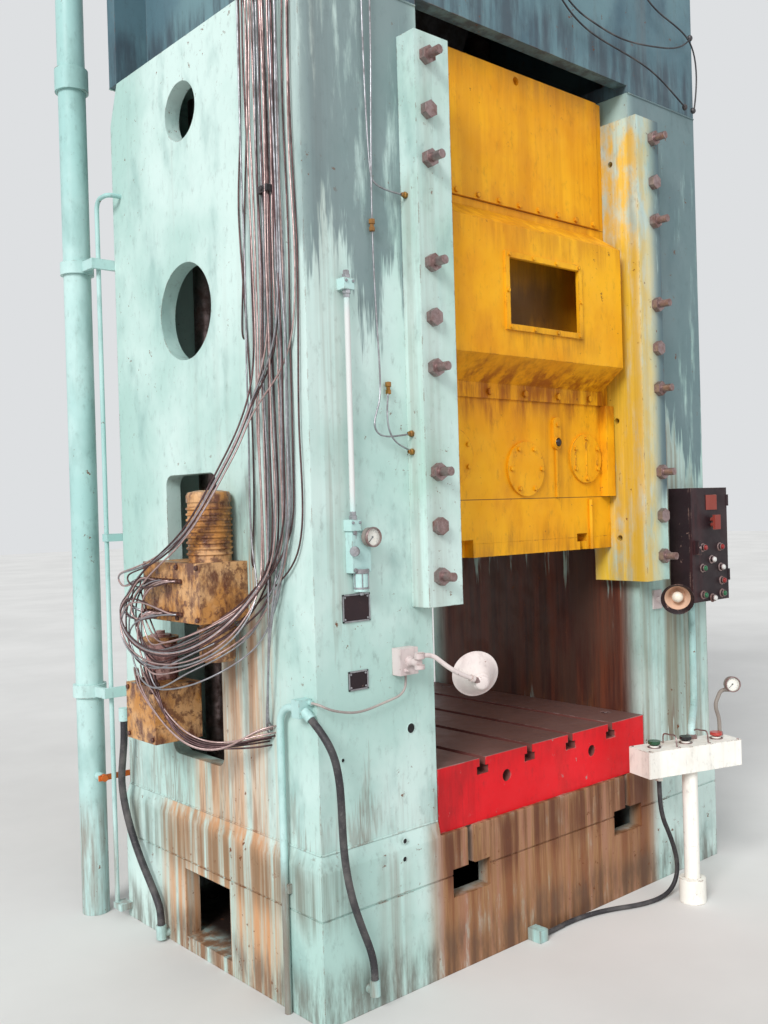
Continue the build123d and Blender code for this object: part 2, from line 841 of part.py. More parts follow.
# Slide screws: hexagon heads along the cover's foot, on the hood's strip, round its window and on the covers.
with BuildPart() as slide_screws:
    way = (0, -1, 0)
    for place in range(-4, 5):
        hexagon((place * 115, cover_face, cover_low + 16), way, small_head_radius, small_head_height)
    for place in range(-2, 3):
        hexagon((place * 200, slide_front - hood_wall, hood_foot + 25), way, 14, 11)
    frame_y = hood_face - hood_wall
    for place in (-1, -1 / 3, 1 / 3, 1):
        for edge in (hood_window_low - hood_frame / 2, hood_window_high + hood_frame / 2):
            hexagon((place * hood_window_half, frame_y, edge), way, 8, 6)
    for side in (-1, 1):
        hexagon(
            (side * (hood_window_half + hood_frame / 2), frame_y, (hood_window_low + hood_window_high) / 2),
            way,
            8,
            6,
        )
    for x, z, radius, first in (
        (0, round_cover_z, round_cover_radius, 0),
        (right_cover_x, right_cover_z, right_cover_radius, 30),
        (left_cover_x, left_cover_z, right_cover_radius, 30),
    ):
        for index in range(6):
            angle = radians(60 * index + first)
            reach = radius - cover_screw_inset
            at = (x + reach * cos(angle), slide_front - cover_thickness - seat, z + reach * sin(angle))
            hexagon(at, way, small_head_radius - 2, small_head_height)
save(slide_screws, "slide_screws")

# Die holder: the plate under the slide that takes the upper die, with a T slot and a notch.
with BuildPart() as die_holder:
    block((-slide_half_nose, slide_half_nose), (-holder_half, holder_half), (holder_low, slide_bottom))
    block((-slide_half_nose, slide_half_nose), (slide_front, -holder_half), (holder_low, slide_bottom))
    block(slide_slot_x, slot_y, (slide_slot_z[0], slide_bottom + 1), Mode.SUBTRACT)
    slot_middle = sum(slide_slot_x) / 2
    neck_x = (slot_middle - slide_slot_neck / 2, slot_middle + slide_slot_neck / 2)
    block(neck_x, slot_y, (holder_low - 1, slide_slot_z[0] + 1), Mode.SUBTRACT)
    block(slide_notch_x, notch_y, (holder_low - 1, slide_bottom + 1), Mode.SUBTRACT)
save(die_holder, "die_holder")

# Pitman: the connecting rod from the eccentric to the knuckle, forked at its front end.
with BuildPart() as pitman:
    big_end_y = rear_dead_y
    ring_radius = eccentric_radius + big_end_wall
    yoke_front = knuckle_y + fork_reach
    with BuildSketch(Plane.YZ) as shank:
        with Locations((big_end_y, shaft_z)):
            Circle(ring_radius)
        with Locations((yoke_front + yoke_depth / 2, shaft_z)):
            Rectangle(yoke_depth, 2 * yoke_half_height)
        make_hull()
    extrude(shank.sketch, amount=big_end_half, both=True)
    yoke_z = (shaft_z - yoke_half_height, shaft_z + yoke_half_height)
    block((-fork_outer, fork_outer), (yoke_front, yoke_front + yoke_depth), yoke_z)
    for side in (-1, 1):
        low = min(side * fork_inner, side * fork_outer)
        with BuildSketch(Plane.YZ.offset(low)) as arm:
            with Locations((knuckle_y, knuckle_z)):
                Circle(eye_radius)
            with Locations((yoke_front + yoke_depth / 2, shaft_z)):
                Rectangle(yoke_depth, 2 * yoke_half_height)
            make_hull()
        extrude(arm.sketch, amount=fork_outer - fork_inner)
    rod_x((-fork_outer - 1, fork_outer + 1), knuckle_y, knuckle_z, pin_radius + running, Mode.SUBTRACT)
    rod_x(
        (-big_end_half - 1, big_end_half + 1),
        big_end_y,
        shaft_z,
        eccentric_radius + running,
        Mode.SUBTRACT,
    )
save(pitman, "pitman")

# Eccentric shaft: turned in one piece with its eccentric disc.
collar_radius = bracket_hub_radius - 30
with BuildPart() as eccentric_shaft:
    rod_x((shaft_left_end, shaft_right_end), shaft_y, shaft_z, shaft_radius)
    rod_x((-big_end_half + 1, big_end_half - 1), rear_dead_y, shaft_z, eccentric_radius)
    for side in (-1, 1):
        collar_x = sorted((side * (big_end_half + 4), side * (bracket_inner - 1)))
        rod_x(collar_x, shaft_y, shaft_z, collar_radius)
        neck_x = sorted((side * (big_end_half - 2), side * (big_end_half + 5)))
        rod_x(neck_x, shaft_y, shaft_z, collar_radius - 40)
save(eccentric_shaft, "eccentric_shaft")

# Brake disc and clutch drum: plain discs keyed on the shaft's two ends.
with BuildPart() as brake_disc:
    rod_x((brake_left, brake_left + brake_width), shaft_y, shaft_z, brake_radius)
    rod_x((brake_left - 20, brake_left + brake_width + 40), shaft_y, shaft_z, shaft_radius + 35)
    rod_x(
        (brake_left - 30, brake_left + brake_width + 50),
        shaft_y,
        shaft_z,
        shaft_radius + running,
        Mode.SUBTRACT,
    )
save(brake_disc, "brake_disc")

with BuildPart() as clutch_drum:
    rod_x((clutch_left, clutch_left + clutch_width), shaft_y, shaft_z, clutch_radius)
    rod_x(
        (clutch_left - 1, clutch_left + clutch_width + 1),
        shaft_y,
        shaft_z,
        shaft_radius + running,
        Mode.SUBTRACT,
    )
    for index in range(8):
        angle = 2 * pi * index / 8
        at_y = shaft_y + (clutch_radius - 50) * cos(angle)
        at_z = shaft_z + (clutch_radius - 50) * sin(angle)
        rod_x((clutch_left + clutch_width - 1, clutch_left + clutch_width + 14), at_y, at_z, 16)
save(clutch_drum, "clutch_drum")

# Shaft brackets: three bearing cheeks bolted on the crown's rear plate.
bracket_spans = (
    (-bracket_outer, -bracket_inner),
    (bracket_inner, bracket_outer),
    (outboard_inner, frame_half_width),
)
shaft_bore = shaft_radius + bracket_bush_wall
with BuildPart() as shaft_brackets:
    for low, high in bracket_spans:
        with BuildSketch(Plane.YZ.offset(low)) as cheek:
            with Locations((shaft_y, shaft_z)):
                Circle(bracket_hub_radius)
            with Locations((rear + bracket_flange / 2, (bracket_low + bracket_high) / 2)):
                Rectangle(bracket_flange, bracket_high - bracket_low)
            make_hull()
        extrude(cheek.sketch, amount=high - low)
        rod_x((low - 1, high + 1), shaft_y, shaft_z, shaft_bore, Mode.SUBTRACT)
    for side in (-1, 1):
        flange_x = sorted((side * (rear_window_half + 12), side * (bracket_outer + 100)))
        block(flange_x, (rear, rear + bracket_flange), (bracket_low, bracket_high))
save(shaft_brackets, "shaft_brackets")

with BuildPart() as shaft_bushes:
    for low, high in bracket_spans:
        make_bush((low, high), shaft_y, shaft_z, shaft_radius, bracket_bush_wall)
save(shaft_bushes, "shaft_bushes")

# Brake cover: a round cup round the brake disc, bolted on the left cheek.
with BuildPart() as brake_cover:
    cover_inside = brake_radius + 20
    rod_x((brake_cover_left, -bracket_outer), shaft_y, shaft_z, cover_inside + brake_cover_wall)
    rod_x(
        (brake_cover_left - 1, -bracket_outer - brake_cover_wall),
        shaft_y,
        shaft_z,
        cover_inside,
        Mode.SUBTRACT,
    )
    rod_x(
        (-bracket_outer - brake_cover_wall - 1, -bracket_outer + 1),
        shaft_y,
        shaft_z,
        shaft_radius + 12,
        Mode.SUBTRACT,
    )
save(brake_cover, "brake_cover")

# Flywheel: a heavy spoked wheel that runs on the shaft, with grooves for the belts.
flywheel_right = flywheel_left + flywheel_width
flywheel_middle = (flywheel_left + flywheel_right) / 2
belt_places = [flywheel_middle + (index - (belt_count - 1) / 2) * belt_pitch for index in range(belt_count)]
groove_half = belt_width / 2 + belt_room
with BuildPart() as flywheel:
    rod_x((flywheel_left, flywheel_right), shaft_y, shaft_z, flywheel_radius)
    web_half = flywheel_web / 2
    left_of_web = (flywheel_left - 1, flywheel_middle - web_half)
    right_of_web = (flywheel_middle + web_half, flywheel_right + 1)
    for x in (left_of_web, right_of_web):
        rod_x(x, shaft_y, shaft_z, flywheel_radius - flywheel_rim, Mode.SUBTRACT)
    rod_x((flywheel_left, flywheel_right), shaft_y, shaft_z, flywheel_hub_radius)
    rod_x((flywheel_left - 1, flywheel_right + 1), shaft_y, shaft_z, shaft_radius + running, Mode.SUBTRACT)
    window_reach = (flywheel_radius - flywheel_rim + flywheel_hub_radius) / 2
    for index in range(flywheel_window_count):
        angle = 2 * pi * index / flywheel_window_count
        at_y = shaft_y + window_reach * cos(angle)
        at_z = shaft_z + window_reach * sin(angle)
        rod_x((flywheel_left, flywheel_right), at_y, at_z, flywheel_window_radius, Mode.SUBTRACT)
    for place in belt_places:
        with BuildSketch(Plane.YZ.offset(place - groove_half)) as groove:
            with Locations((shaft_y, shaft_z)):
                Circle(flywheel_radius + 1)
                Circle(flywheel_radius - groove_depth, mode=Mode.SUBTRACT)
        extrude(groove.sketch, amount=2 * groove_half, mode=Mode.SUBTRACT)
save(flywheel, "flywheel")

# Motor pulley with the motor's shaft.
with BuildPart() as motor_pulley:
    rod_x((flywheel_left + 20, flywheel_right - 20), pulley_y, motor_z, pulley_radius)
    for place in belt_places:
        with BuildSketch(Plane.YZ.offset(place - groove_half)) as groove:
            with Locations((pulley_y, motor_z)):
                Circle(pulley_radius + 1)
                Circle(pulley_radius - groove_depth, mode=Mode.SUBTRACT)
        extrude(groove.sketch, amount=2 * groove_half, mode=Mode.SUBTRACT)
    rod_x((motor_right - 120, flywheel_right), pulley_y, motor_z, motor_shaft_radius)
save(motor_pulley, "motor_pulley")

# V belts: endless belts from the pulley to the flywheel, each lying in its groove.
belt_inner = flywheel_radius - groove_depth + belt_room
belt_inner_small = pulley_radius - groove_depth + belt_room
with BuildPart() as v_belts:
    for place in belt_places:
        with BuildSketch(Plane.YZ.offset(place - belt_width / 2)) as loop_outside:
            with Locations((shaft_y, shaft_z)):
                Circle(belt_inner + belt_height)
            with Locations((pulley_y, motor_z)):
                Circle(belt_inner_small + belt_height)
            make_hull()
        extrude(loop_outside.sketch, amount=belt_width)
        with BuildSketch(Plane.YZ.offset(place - belt_width / 2 - 1)) as loop_inside:
            with Locations((shaft_y, shaft_z)):
                Circle(belt_inner)
            with Locations((pulley_y, motor_z)):
                Circle(belt_inner_small)
            make_hull()
        extrude(loop_inside.sketch, amount=belt_width + 2, mode=Mode.SUBTRACT)
save(v_belts, "v_belts")

# Belt guard: a sheet pan round the belts and flywheel, bolted flat on the right side of the frame.
guard_left = frame_half_width
guard_right = guard_left + guard_depth
with BuildPart() as belt_guard:
    for grow, low, high, mode in (
        (guard_wall, guard_left, guard_right, Mode.ADD),
        (0, guard_left + guard_wall, guard_right + 1, Mode.SUBTRACT),
    ):
        with BuildSketch(Plane.YZ.offset(low)) as pan:
            with Locations((shaft_y, shaft_z)):
                Circle(flywheel_radius + guard_gap + grow)
            with Locations((pulley_y, motor_z)):
                Circle(pulley_radius + guard_gap + grow)
            make_hull()
        extrude(pan.sketch, amount=high - low, mode=mode)
    back_x = (guard_left - 1, guard_left + guard_wall + 1)
    rod_x(back_x, shaft_y, shaft_z, shaft_radius + 12, Mode.SUBTRACT)
    rod_x(back_x, pulley_y, motor_z, motor_shaft_radius + 12, Mode.SUBTRACT)
save(belt_guard, "belt_guard")

# Motor: a finned round body on a foot plate on the crown, with a fan cowl and a terminal box.
with BuildPart() as motor:
    rod_x((motor_left + 90, motor_right), pulley_y, motor_z, motor_radius)
    rod_x((motor_left, motor_left + 91), pulley_y, motor_z, motor_radius - 18)
    for index in range(24):
        angle = 360 * index / 24 + 7.5
        fin_way = (0, sin(radians(angle)), cos(radians(angle)))
        fin_align = (Align.MIN, Align.CENTER, Align.MIN)
        with Locations(Plane(origin=(motor_left + 110, pulley_y, motor_z), x_dir=(1, 0, 0), z_dir=fin_way)):
            Box(motor_right - motor_left - 150, 6, motor_radius + motor_fin, align=fin_align)
    foot_x = (motor_left + 130, motor_right - 60)
    block(foot_x, (pulley_y - 230, pulley_y + 230), (crown_top, crown_top + motor_foot))
    for x in (foot_x[0] + 20, foot_x[1] - 60):
        block((x, x + 40), (pulley_y - 190, pulley_y + 190), (crown_top + motor_foot - 1, motor_z))
    terminal_z = (motor_z + motor_radius - 20, motor_z + motor_radius + 100)
    block((motor_left + 200, motor_left + 360), (pulley_y - 70, pulley_y + 70), terminal_z)
    rod_x(
        (motor_right - 130, motor_right + 1),
        pulley_y,
        motor_z,
        motor_shaft_radius + running,
        Mode.SUBTRACT,
    )
save(motor, "motor")

# Lubrication pumps: two gear pumps with outlets on top, the upper with its motor, the lower with an oil jar,
# and the distributor block on the crown.
pump_face = side_face - pump_depth
with BuildPart() as lube_pumps:
    block((pump_face, side_face), upper_pump_y, upper_pump_z)
    motor_at = (side_face - pump_motor_inset, upper_pump_y[0] + 110)
    rod((*motor_at, upper_pump_z[1] - 1), (*motor_at, pump_motor_high), pump_motor_radius)
    block((pump_face, side_face), lower_pump_y, lower_pump_z)
    jar_at = (side_face - pump_motor_inset, lower_pump_y[1] - reservoir_radius - 4)
    rod((*jar_at, lower_pump_z[1] - 1), (*jar_at, reservoir_high), reservoir_radius)
    rod((*jar_at, reservoir_high - 1), (*jar_at, reservoir_high + 12), reservoir_radius + 6)
    manifold_y = (line_first_y - 20, line_first_y + (line_count - 1) * line_spread + 20)
    block(manifold_x, manifold_y, (crown_top, crown_top + manifold_height))
save(lube_pumps, "lube_pumps")

# Lubrication lines: thin tubes from the pumps up the side plate and over to the distributor,
# and three on the front that feed the gib.
line_x = side_face - line_room
outlet_x = pump_face + outlet_inset
bundle_top = crown_top + line_bundle_top
upper_count = line_count - line_low_count
with BuildPart() as lube_lines:
    for index in range(line_count):
        top_y = line_first_y + index * line_spread
        if index < upper_count:
            foot_pitch = (upper_pump_y[1] - upper_pump_y[0] - 24) / (upper_count - 1)
            foot_y = upper_pump_y[0] + 12 + index * foot_pitch
            foot_z = upper_pump_z[1]
        else:
            foot_y = upper_pump_y[1] + 24 + (index - upper_count) * (line_spread + 5)
            foot_z = lower_pump_z[1]
        points = (
            (outlet_x, foot_y, foot_z),
            (outlet_x, foot_y, line_bend_low),
            (line_x, top_y, line_bend_high),
            (line_x, top_y, bundle_top),
            (manifold_x[0], top_y, bundle_top),
        )
        tube(points, line_radius, (60, 60, 24))
    gib_side_x = -gib_flange_x
    for start_x, height in ((side_face + 255, 2648), (side_face + 277, 1843)):
        points = (
            (start_x, front - line_room, crown_top - 300),
            (start_x, front - line_room, height),
            (gib_side_x, front - line_room, height),
        )
        tube(points, line_radius, (30,))
save(lube_lines, "lube_lines")

# Air riser: the shop's supply pipe to the clutch and brake, standing close behind the left rear corner.
with BuildPart() as air_riser:
    rod((riser_x, riser_y, 0), (riser_x, riser_y, riser_top - riser_spigot), riser_radius)
    rod((riser_x, riser_y, 0), (riser_x, riser_y, riser_top), riser_bore)
    rod((riser_x, riser_y, 6), (riser_x, riser_y, riser_top + 1), riser_bore - 6, Mode.SUBTRACT)
save(air_riser, "air_riser")

# Riser fittings: a screwed socket, two clamps bolted to the frame's rear corner, and the drain cock's body.
with BuildPart() as riser_fittings:
    socket_z = (riser_socket_z - riser_socket_height / 2, riser_socket_z + riser_socket_height / 2)
    rod((riser_x, riser_y, socket_z[0]), (riser_x, riser_y, socket_z[1]), riser_socket_radius)
    for height in clamp_heights:
        rod((riser_x, riser_y, height - 25), (riser_x, riser_y, height + 25), riser_radius + 12)
        block((riser_x, -frame_half_width + 90), (rear, rear + 14), (height - 20, height + 20))
        block((riser_x - 8, riser_x + 8), (rear, riser_y - riser_radius), (height - 20, height + 20))
    rod((riser_x, riser_y, 0), (riser_x, riser_y, riser_top), riser_radius + running, Mode.SUBTRACT)
    cock_face = riser_y - riser_radius - 45
    rod((riser_x, riser_y - riser_radius - running, cock_z), (riser_x, cock_face, cock_z), cock_radius)
save(riser_fittings, "riser_fittings")

# Valve lever: a flat handle on the drain cock's stem.
lever_root = cock_face - seat
with BuildPart() as valve_lever:
    block((riser_x - 22, riser_x + lever_length), (lever_root - 8, lever_root), (cock_z - 11, cock_z + 11))
    rod((riser_x, lever_root, cock_z), (riser_x, lever_root - 16, cock_z), 14)
save(valve_lever, "valve_lever")

# Conduits: steel tubes for wiring, with the end boxes and glands that the hoses leave from.
conduit_radius = 12
conduit_y = front + 160
riser_conduit_x = side_face - 55
riser_conduit_y = rear + 31
junction_y = (front + 25, front + 65)
junction_z = (962, 1018)
hose_radius = 12
cable_radius = 4
floor_hose_radius = 9
corner_hose_way = Vector(0.15, -0.75, -0.65).normalized()
corner_hose_start = Vector(side_face - 30, junction_y[0] + 4, 984)
corner_hose_root = tuple(corner_hose_start + corner_hose_way * 38)
lamp_cable_root = (side_face - 12, junction_y[0] - 14, 1007)
corner_gland = (side_face + 165, front - 43, 110)
floor_hose_z = floor_hose_radius + 1
floor_gland = (-130, front - 43, floor_hose_z)
drain_hose_radius = 14
drain_hose_root = (side_face - 60, rear - 80, 800)
drain_gland = (side_face - 45, rear - 303, 60)
with BuildPart() as conduits:
    low_face = -bed_half_width - conduit_radius - 2
    points = (
        (low_face, conduit_y, 0),
        (low_face, conduit_y, 985),
        (low_face, junction_y[1], 985),
    )
    tube(points, conduit_radius, (60,))
    block((side_face - 52, side_face), junction_y, junction_z)
    rod(tuple(corner_hose_start), corner_hose_root, hose_radius + 4)
    rod((lamp_cable_root[0], junction_y[0], 1007), lamp_cable_root, cable_radius + 4)
    block((low_face, -bed_half_width), (conduit_y - 20, conduit_y + 20), (385, 415))
    rod(drain_hose_root, (*drain_hose_root[:2], drain_hose_root[2] + 50), drain_hose_radius + 5)
    elbow_z = drain_hose_root[2] + 34
    rod(
        (drain_hose_root[0], drain_hose_root[1], elbow_z),
        (side_face, drain_hose_root[1], elbow_z),
        drain_hose_radius,
    )
    rod(drain_gland, (*drain_gland[:2], 8), drain_hose_radius + 5)
    rod((*drain_gland[:2], 26), (-bed_half_width, drain_gland[1], 26), drain_hose_radius)
    rod((corner_gland[0], corner_gland[1], 60), corner_gland, hose_radius + 5)
    rod((corner_gland[0], -bed_half_depth, 75), (corner_gland[0], corner_gland[1], 75), hose_radius + 3)
    block((floor_gland[0] - 45, floor_gland[0]), (floor_gland[1] - 30, -bed_half_depth), (0, 44))
    points = (
        (riser_conduit_x, riser_conduit_y, 60),
        (riser_conduit_x, riser_conduit_y, 2859),
        (riser_conduit_x, rear - 65, 2859),
        (side_face, rear - 65, 2859),
    )
    tube(points, 9, (40, 25))
    clip_x = riser_conduit_x - 12
    block((clip_x, side_face + 60), (rear, riser_conduit_y + 12), (1500, 1530))
    block((clip_x, -bed_half_width), (rear - 20, riser_conduit_y + 12), (36, 60))
    points = (
        (box_left + 62, front - 60, box_low),
        (box_left + 62, front - 60, 719),
        (*on_console(70, console_width / 2 - 18), console_high + 46),
        (*on_console(70, console_width / 2 - 18), console_high),
    )
    tube(points, 15, (60, 24))
save(conduits, "conduits")

# Filter unit: a filter bowl and valve under a long sight tube with end fittings, on the left column.
with BuildPart() as filter_unit:
    tube_x = filter_x - 24
    for height in (sight_tube_low, sight_tube_high):
        block((tube_x - 20, tube_x + 20), (front - 40, front), (height - 18, height + 18))
    rod((tube_x, front - 24, sight_tube_low), (tube_x, front - 24, sight_tube_high), sight_tube_radius)
    block((filter_x - 38, filter_x + 38), (front - 34, front), (filter_low + 60, filter_high - 34))
    rod((filter_x, front - 26, filter_low), (filter_x, front - 26, filter_low + 62), 24)
    rod((filter_x + 22, front - 34, 1513), (filter_x + 22, front - 44, 1513), 10)
save(filter_unit, "filter_unit")

# Gauges: the filter's round gauge, and the console's gauge on its bent pipe.
filter_gauge_at = (filter_x + 22, front - 44, 1513)
gauge_root = on_console(205, 35)
console_gauge_at = (gauge_root[0] + 62, gauge_root[1] - 20, 835)
gauge_way = Vector(-0.62, -0.78, 0.05).normalized()


def gauge_case(at, way):
    """A round case open at the front for its dial."""
    start = Vector(*at)
    rod(tuple(start), tuple(start + way * gauge_depth), gauge_radius)
    dish = start + way * (gauge_depth - 8)
    rod(tuple(dish), tuple(start + way * (gauge_depth + 1)), gauge_radius - 4, Mode.SUBTRACT)


with BuildPart() as gauges:
    gauge_case(filter_gauge_at, Vector(0, -1, 0))
    gauge_case(console_gauge_at, gauge_way)
    points = (
        (*gauge_root, console_high),
        (*gauge_root, console_high + 70),
        (gauge_root[0] - 22, gauge_root[1] + 6, console_high + 125),
        (gauge_root[0] + 25, gauge_root[1] + 4, console_gauge_at[2] - 22),
        tuple(Vector(*console_gauge_at) + gauge_way * 3 - Vector(0, 0, gauge_radius - 6)),
    )
    tube(points, 8)
save(gauges, "gauges")


def make_pointer(at, way, slant):
    """A flat pointer with a round boss, floating on its spindle inside the dish."""
    base = Vector(*at) + way * (gauge_depth - 8 + seat)
    plane = Plane(origin=base, x_dir=Vector(0, 0, 1).cross(way), z_dir=way)
    with BuildPart() as pointer:
        with BuildSketch(plane) as blade:
            Circle(3.5)
            with Locations(Rotation(0, 0, slant)):
                Rectangle(2.2, gauge_radius - 10, align=(Align.CENTER, Align.MIN))
        extrude(blade.sketch, amount=1.4)
    return pointer


filter_pointer = make_pointer(filter_gauge_at, Vector(0, -1, 0), 135)
save(filter_pointer, "filter_pointer")
console_pointer = make_pointer(console_gauge_at, gauge_way, 135)
save(console_pointer, "console_pointer")

# Lamp brackets: the switch box that carries the left lamp, and the right lamp's pad.
switch_front = front - switch_depth
right_pad_z = 1180
right_pivot = (opening_half_width + 117, front - 65, right_pad_z)
with BuildPart() as lamp_brackets:
    block((switch_x - switch_half, switch_x + switch_half), (switch_front, front), (switch_low, switch_high))
    rod((switch_x, switch_front, lamp_pivot_z), (switch_x, lamp_pivot_y, lamp_pivot_z), 13)
    rod((switch_x, lamp_pivot_y, lamp_pivot_z - 20), (switch_x, lamp_pivot_y, lamp_pivot_z - 6), 17)
    block(
        (right_pivot[0] - 30, right_pivot[0] + 30),
        (front - 8, front),
        (right_pad_z - 40, right_pad_z + 40),
    )
    rod((right_pivot[0], front - 7, right_pad_z), right_pivot, 12)
    rod((*right_pivot[:2], right_pad_z - 16), (*right_pivot[:2], right_pad_z - 5), 15)
save(lamp_brackets, "lamp_brackets")

# Lamp arm: a swivel head and a bowed tube out to the shade's joint.
light_way = Vector(*lamp_light_axis).normalized()
shade_at = Vector(*lamp_shade_at)
shade_pivot = shade_at - light_way * (shade_depth / 2 + 14)
arm_bend = Vector(switch_x + 112, front - 133, 1060)
arm_way = (shade_pivot - arm_bend).normalized()
stub_length = 38
arm_end = shade_pivot - arm_way * (stub_length + seat)
with BuildPart() as lamp_arm:
    rod((switch_x, lamp_pivot_y, lamp_pivot_z + 13 + seat), (switch_x, lamp_pivot_y, lamp_pivot_z + 34), 17)
    points = (
        (switch_x, lamp_pivot_y, lamp_pivot_z + 24),
        (switch_x + 45, lamp_pivot_y - 14, lamp_pivot_z + 22),
        tuple(arm_bend),
        tuple(arm_end),
    )
    tube(points, 8)
    rod(tuple(arm_end - arm_way * 14), tuple(arm_end), 12)
save(lamp_arm, "lamp_arm")


def make_shade(at, way, radius, depth, wall):
    """A spun dish with a round socket at its back; way is where the light goes."""
    back = Plane(origin=at - way * (depth / 2), z_dir=way)
    with BuildPart() as shade:
        with BuildSketch(back) as narrow:
            Circle(radius * 0.42)
        with BuildSketch(back.offset(depth)) as wide:
            Circle(radius)
        loft(sections=(narrow.sketch.faces()[0], wide.sketch.faces()[0]))
        with BuildSketch(back.offset(wall)) as narrow_inside:
            Circle(radius * 0.42 - wall)
        with BuildSketch(back.offset(depth + 0.01)) as wide_inside:
            Circle(radius - wall)
        loft(sections=(narrow_inside.sketch.faces()[0], wide_inside.sketch.faces()[0]), mode=Mode.SUBTRACT)
        with BuildSketch(back.offset(-28)) as socket:
            Circle(radius * 0.42)
        extrude(socket.sketch, amount=30)
    return shade


shade = make_shade(shade_at, light_way, shade_radius, shade_depth, shade_wall)
with BuildPart() as lamp_shade:
    add(shade.part)
    rod(tuple(shade_pivot), tuple(shade_pivot - arm_way * stub_length), 10)
save(lamp_shade, "lamp_shade")

right_way = Vector(*right_lamp_axis).normalized()
right_shade = make_shade(Vector(*right_lamp_at), right_way, right_shade_radius, shade_depth, shade_wall)
with BuildPart() as right_lamp:
    add(right_shade.part)
    back_point = Vector(*right_lamp_at) - right_way * (shade_depth / 2 + 20)
    rod(tuple(back_point), (right_pivot[0], right_pivot[1], right_pad_z + 22), 8)
    rod((*right_pivot[:2], right_pad_z + 12 + seat), (*right_pivot[:2], right_pad_z + 30), 15)
save(right_lamp, "right_lamp")

# Control box: a sheet box open at the front, closed by a hinged door with indicator lamps.
box_front = front - box_depth
with BuildPart() as control_box:
    block((box_left, box_right), (box_front, front), (box_low, box_high))
    inside_x = (box_left + console_wall, box_right - console_wall)
    block(
        inside_x,
        (box_front - 1, front - console_wall),
        (box_low + console_wall, box_high - console_wall),
        Mode.SUBTRACT,
    )
save(control_box, "control_box")

door_face = box_front - seat - door_thickness
with BuildPart() as control_door:
    block((box_left, box_right), (door_face, box_front - seat), (box_low, box_high))
    for right_of, up in door_lamps:
        lamp_at = (box_left + right_of, box_low + up)
        rod((lamp_at[0], door_face, lamp_at[1]), (lamp_at[0], door_face - 14, lamp_at[1]), door_lamp_radius)
    block(door_plate_x, (door_face - 3, door_face), door_plate_z)
    pull_x = sum(door_plate_x) / 2
    rod((pull_x, door_face, door_pull_z[0] + 20), (pull_x, door_face - 22, door_pull_z[0] + 20), 9)
    rod((pull_x, door_face, door_pull_z[1] - 20), (pull_x, door_face - 22, door_pull_z[1] - 20), 9)
    block((pull_x - 22, pull_x + 22), (door_face - 32, door_face - 20), door_pull_z)
    block(door_latch_x, (door_face - 24, door_face), door_latch_z)
save(control_door, "control_door")

# Console: a turned box on a pedestal, with three mushroom buttons in sleeves.
console_plane = Plane(
    origin=(*console_at, console_high - console_height),
    x_dir=(cos(turn), sin(turn), 0),
    z_dir=(0, 0, 1),
)
button_bore = 11
with BuildPart() as console_box:
    with BuildSketch(console_plane) as shell:
        RectangleRounded(console_length, console_width, 6)
    extrude(shell.sketch, amount=console_height)
    with BuildSketch(console_plane.offset(console_wall)) as hollow:
        RectangleRounded(console_length - 2 * console_wall, console_width - 2 * console_wall, 4)
    extrude(hollow.sketch, amount=console_height - 2 * console_wall, mode=Mode.SUBTRACT)
    for along in (-button_pitch, 0, button_pitch):
        with BuildSketch(console_plane.offset(console_height - 30)) as sleeve:
            with Locations((along, 0)):
                Circle(18)
        extrude(sleeve.sketch, amount=38)
        with BuildSketch(console_plane.offset(console_height - 31)) as bore:
            with Locations((along, 0)):
                Circle(button_bore + running)
        extrude(bore.sketch, amount=50, mode=Mode.SUBTRACT)
    gland_at = on_console(-135, 0)
    hose_exit = (*gland_at, console_high - console_height - 30)
    rod((*gland_at, console_high - console_height + 1), hose_exit, floor_hose_radius + 5)
save(console_box, "console_box")

with BuildPart() as console_pedestal:
    rod((*pedestal_at, 0), (*pedestal_at, console_high - console_height), pedestal_radius)
    rod((*pedestal_at, 0), (*pedestal_at, 95), pedestal_radius + 22)
save(console_pedestal, "console_pedestal")

for name, along in (("start_button", -button_pitch), ("jog_button", 0), ("stop_button", button_pitch)):
    with BuildPart() as button:
        with BuildSketch(console_plane.offset(console_height - 30)) as stem:
            with Locations((along, 0)):
                Circle(button_bore)
        extrude(stem.sketch, amount=30 + 8 + button_travel + 1)
        with BuildSketch(console_plane.offset(console_height + 8 + button_travel + seat)) as cap:
            with Locations((along, 0)):
                Circle(button_cap_radius)
        extrude(cap.sketch, amount=12)
    save(button, name)

# Hoses and the lamp's cable, each along its own route from its gland.
corner_hose_points = (
    corner_hose_root,
    tuple(corner_hose_start + corner_hose_way * 92),
    (side_face - 5, front - 83, 862),
    (side_face + 7, front - 91, 785),
    (side_face + 20, front - 81, 700),
    (side_face + 31, front - 69, 605),
    (side_face + 47, front - 59, 500),
    (side_face + 75, front - 52, 392),
    (side_face + 115, front - 46, 292),
    (side_face + 153, front - 43, 205),
    (side_face + 165, front - 43, 150),
    corner_gland,
)
cable_span = switch_x - lamp_cable_root[0]
lamp_cable_points = (
    lamp_cable_root,
    (lamp_cable_root[0], front - 23, 1007),
    (lamp_cable_root[0] + 0.07 * cable_span, front - 40, 990),
    (lamp_cable_root[0] + 0.225 * cable_span, front - 30, 972),
    (lamp_cable_root[0] + 0.39 * cable_span, front - 25, 960),
    (lamp_cable_root[0] + 0.545 * cable_span, front - 23, 962),
    (lamp_cable_root[0] + 0.69 * cable_span, front - 22, 971),
    (lamp_cable_root[0] + 0.825 * cable_span, front - 21, 979),
    (switch_x - 26, front - 21, 987),
    (switch_x - 5, front - 21, 1005),
    (switch_x, front - 21, 1027),
    (switch_x, front - 21, switch_low),
)
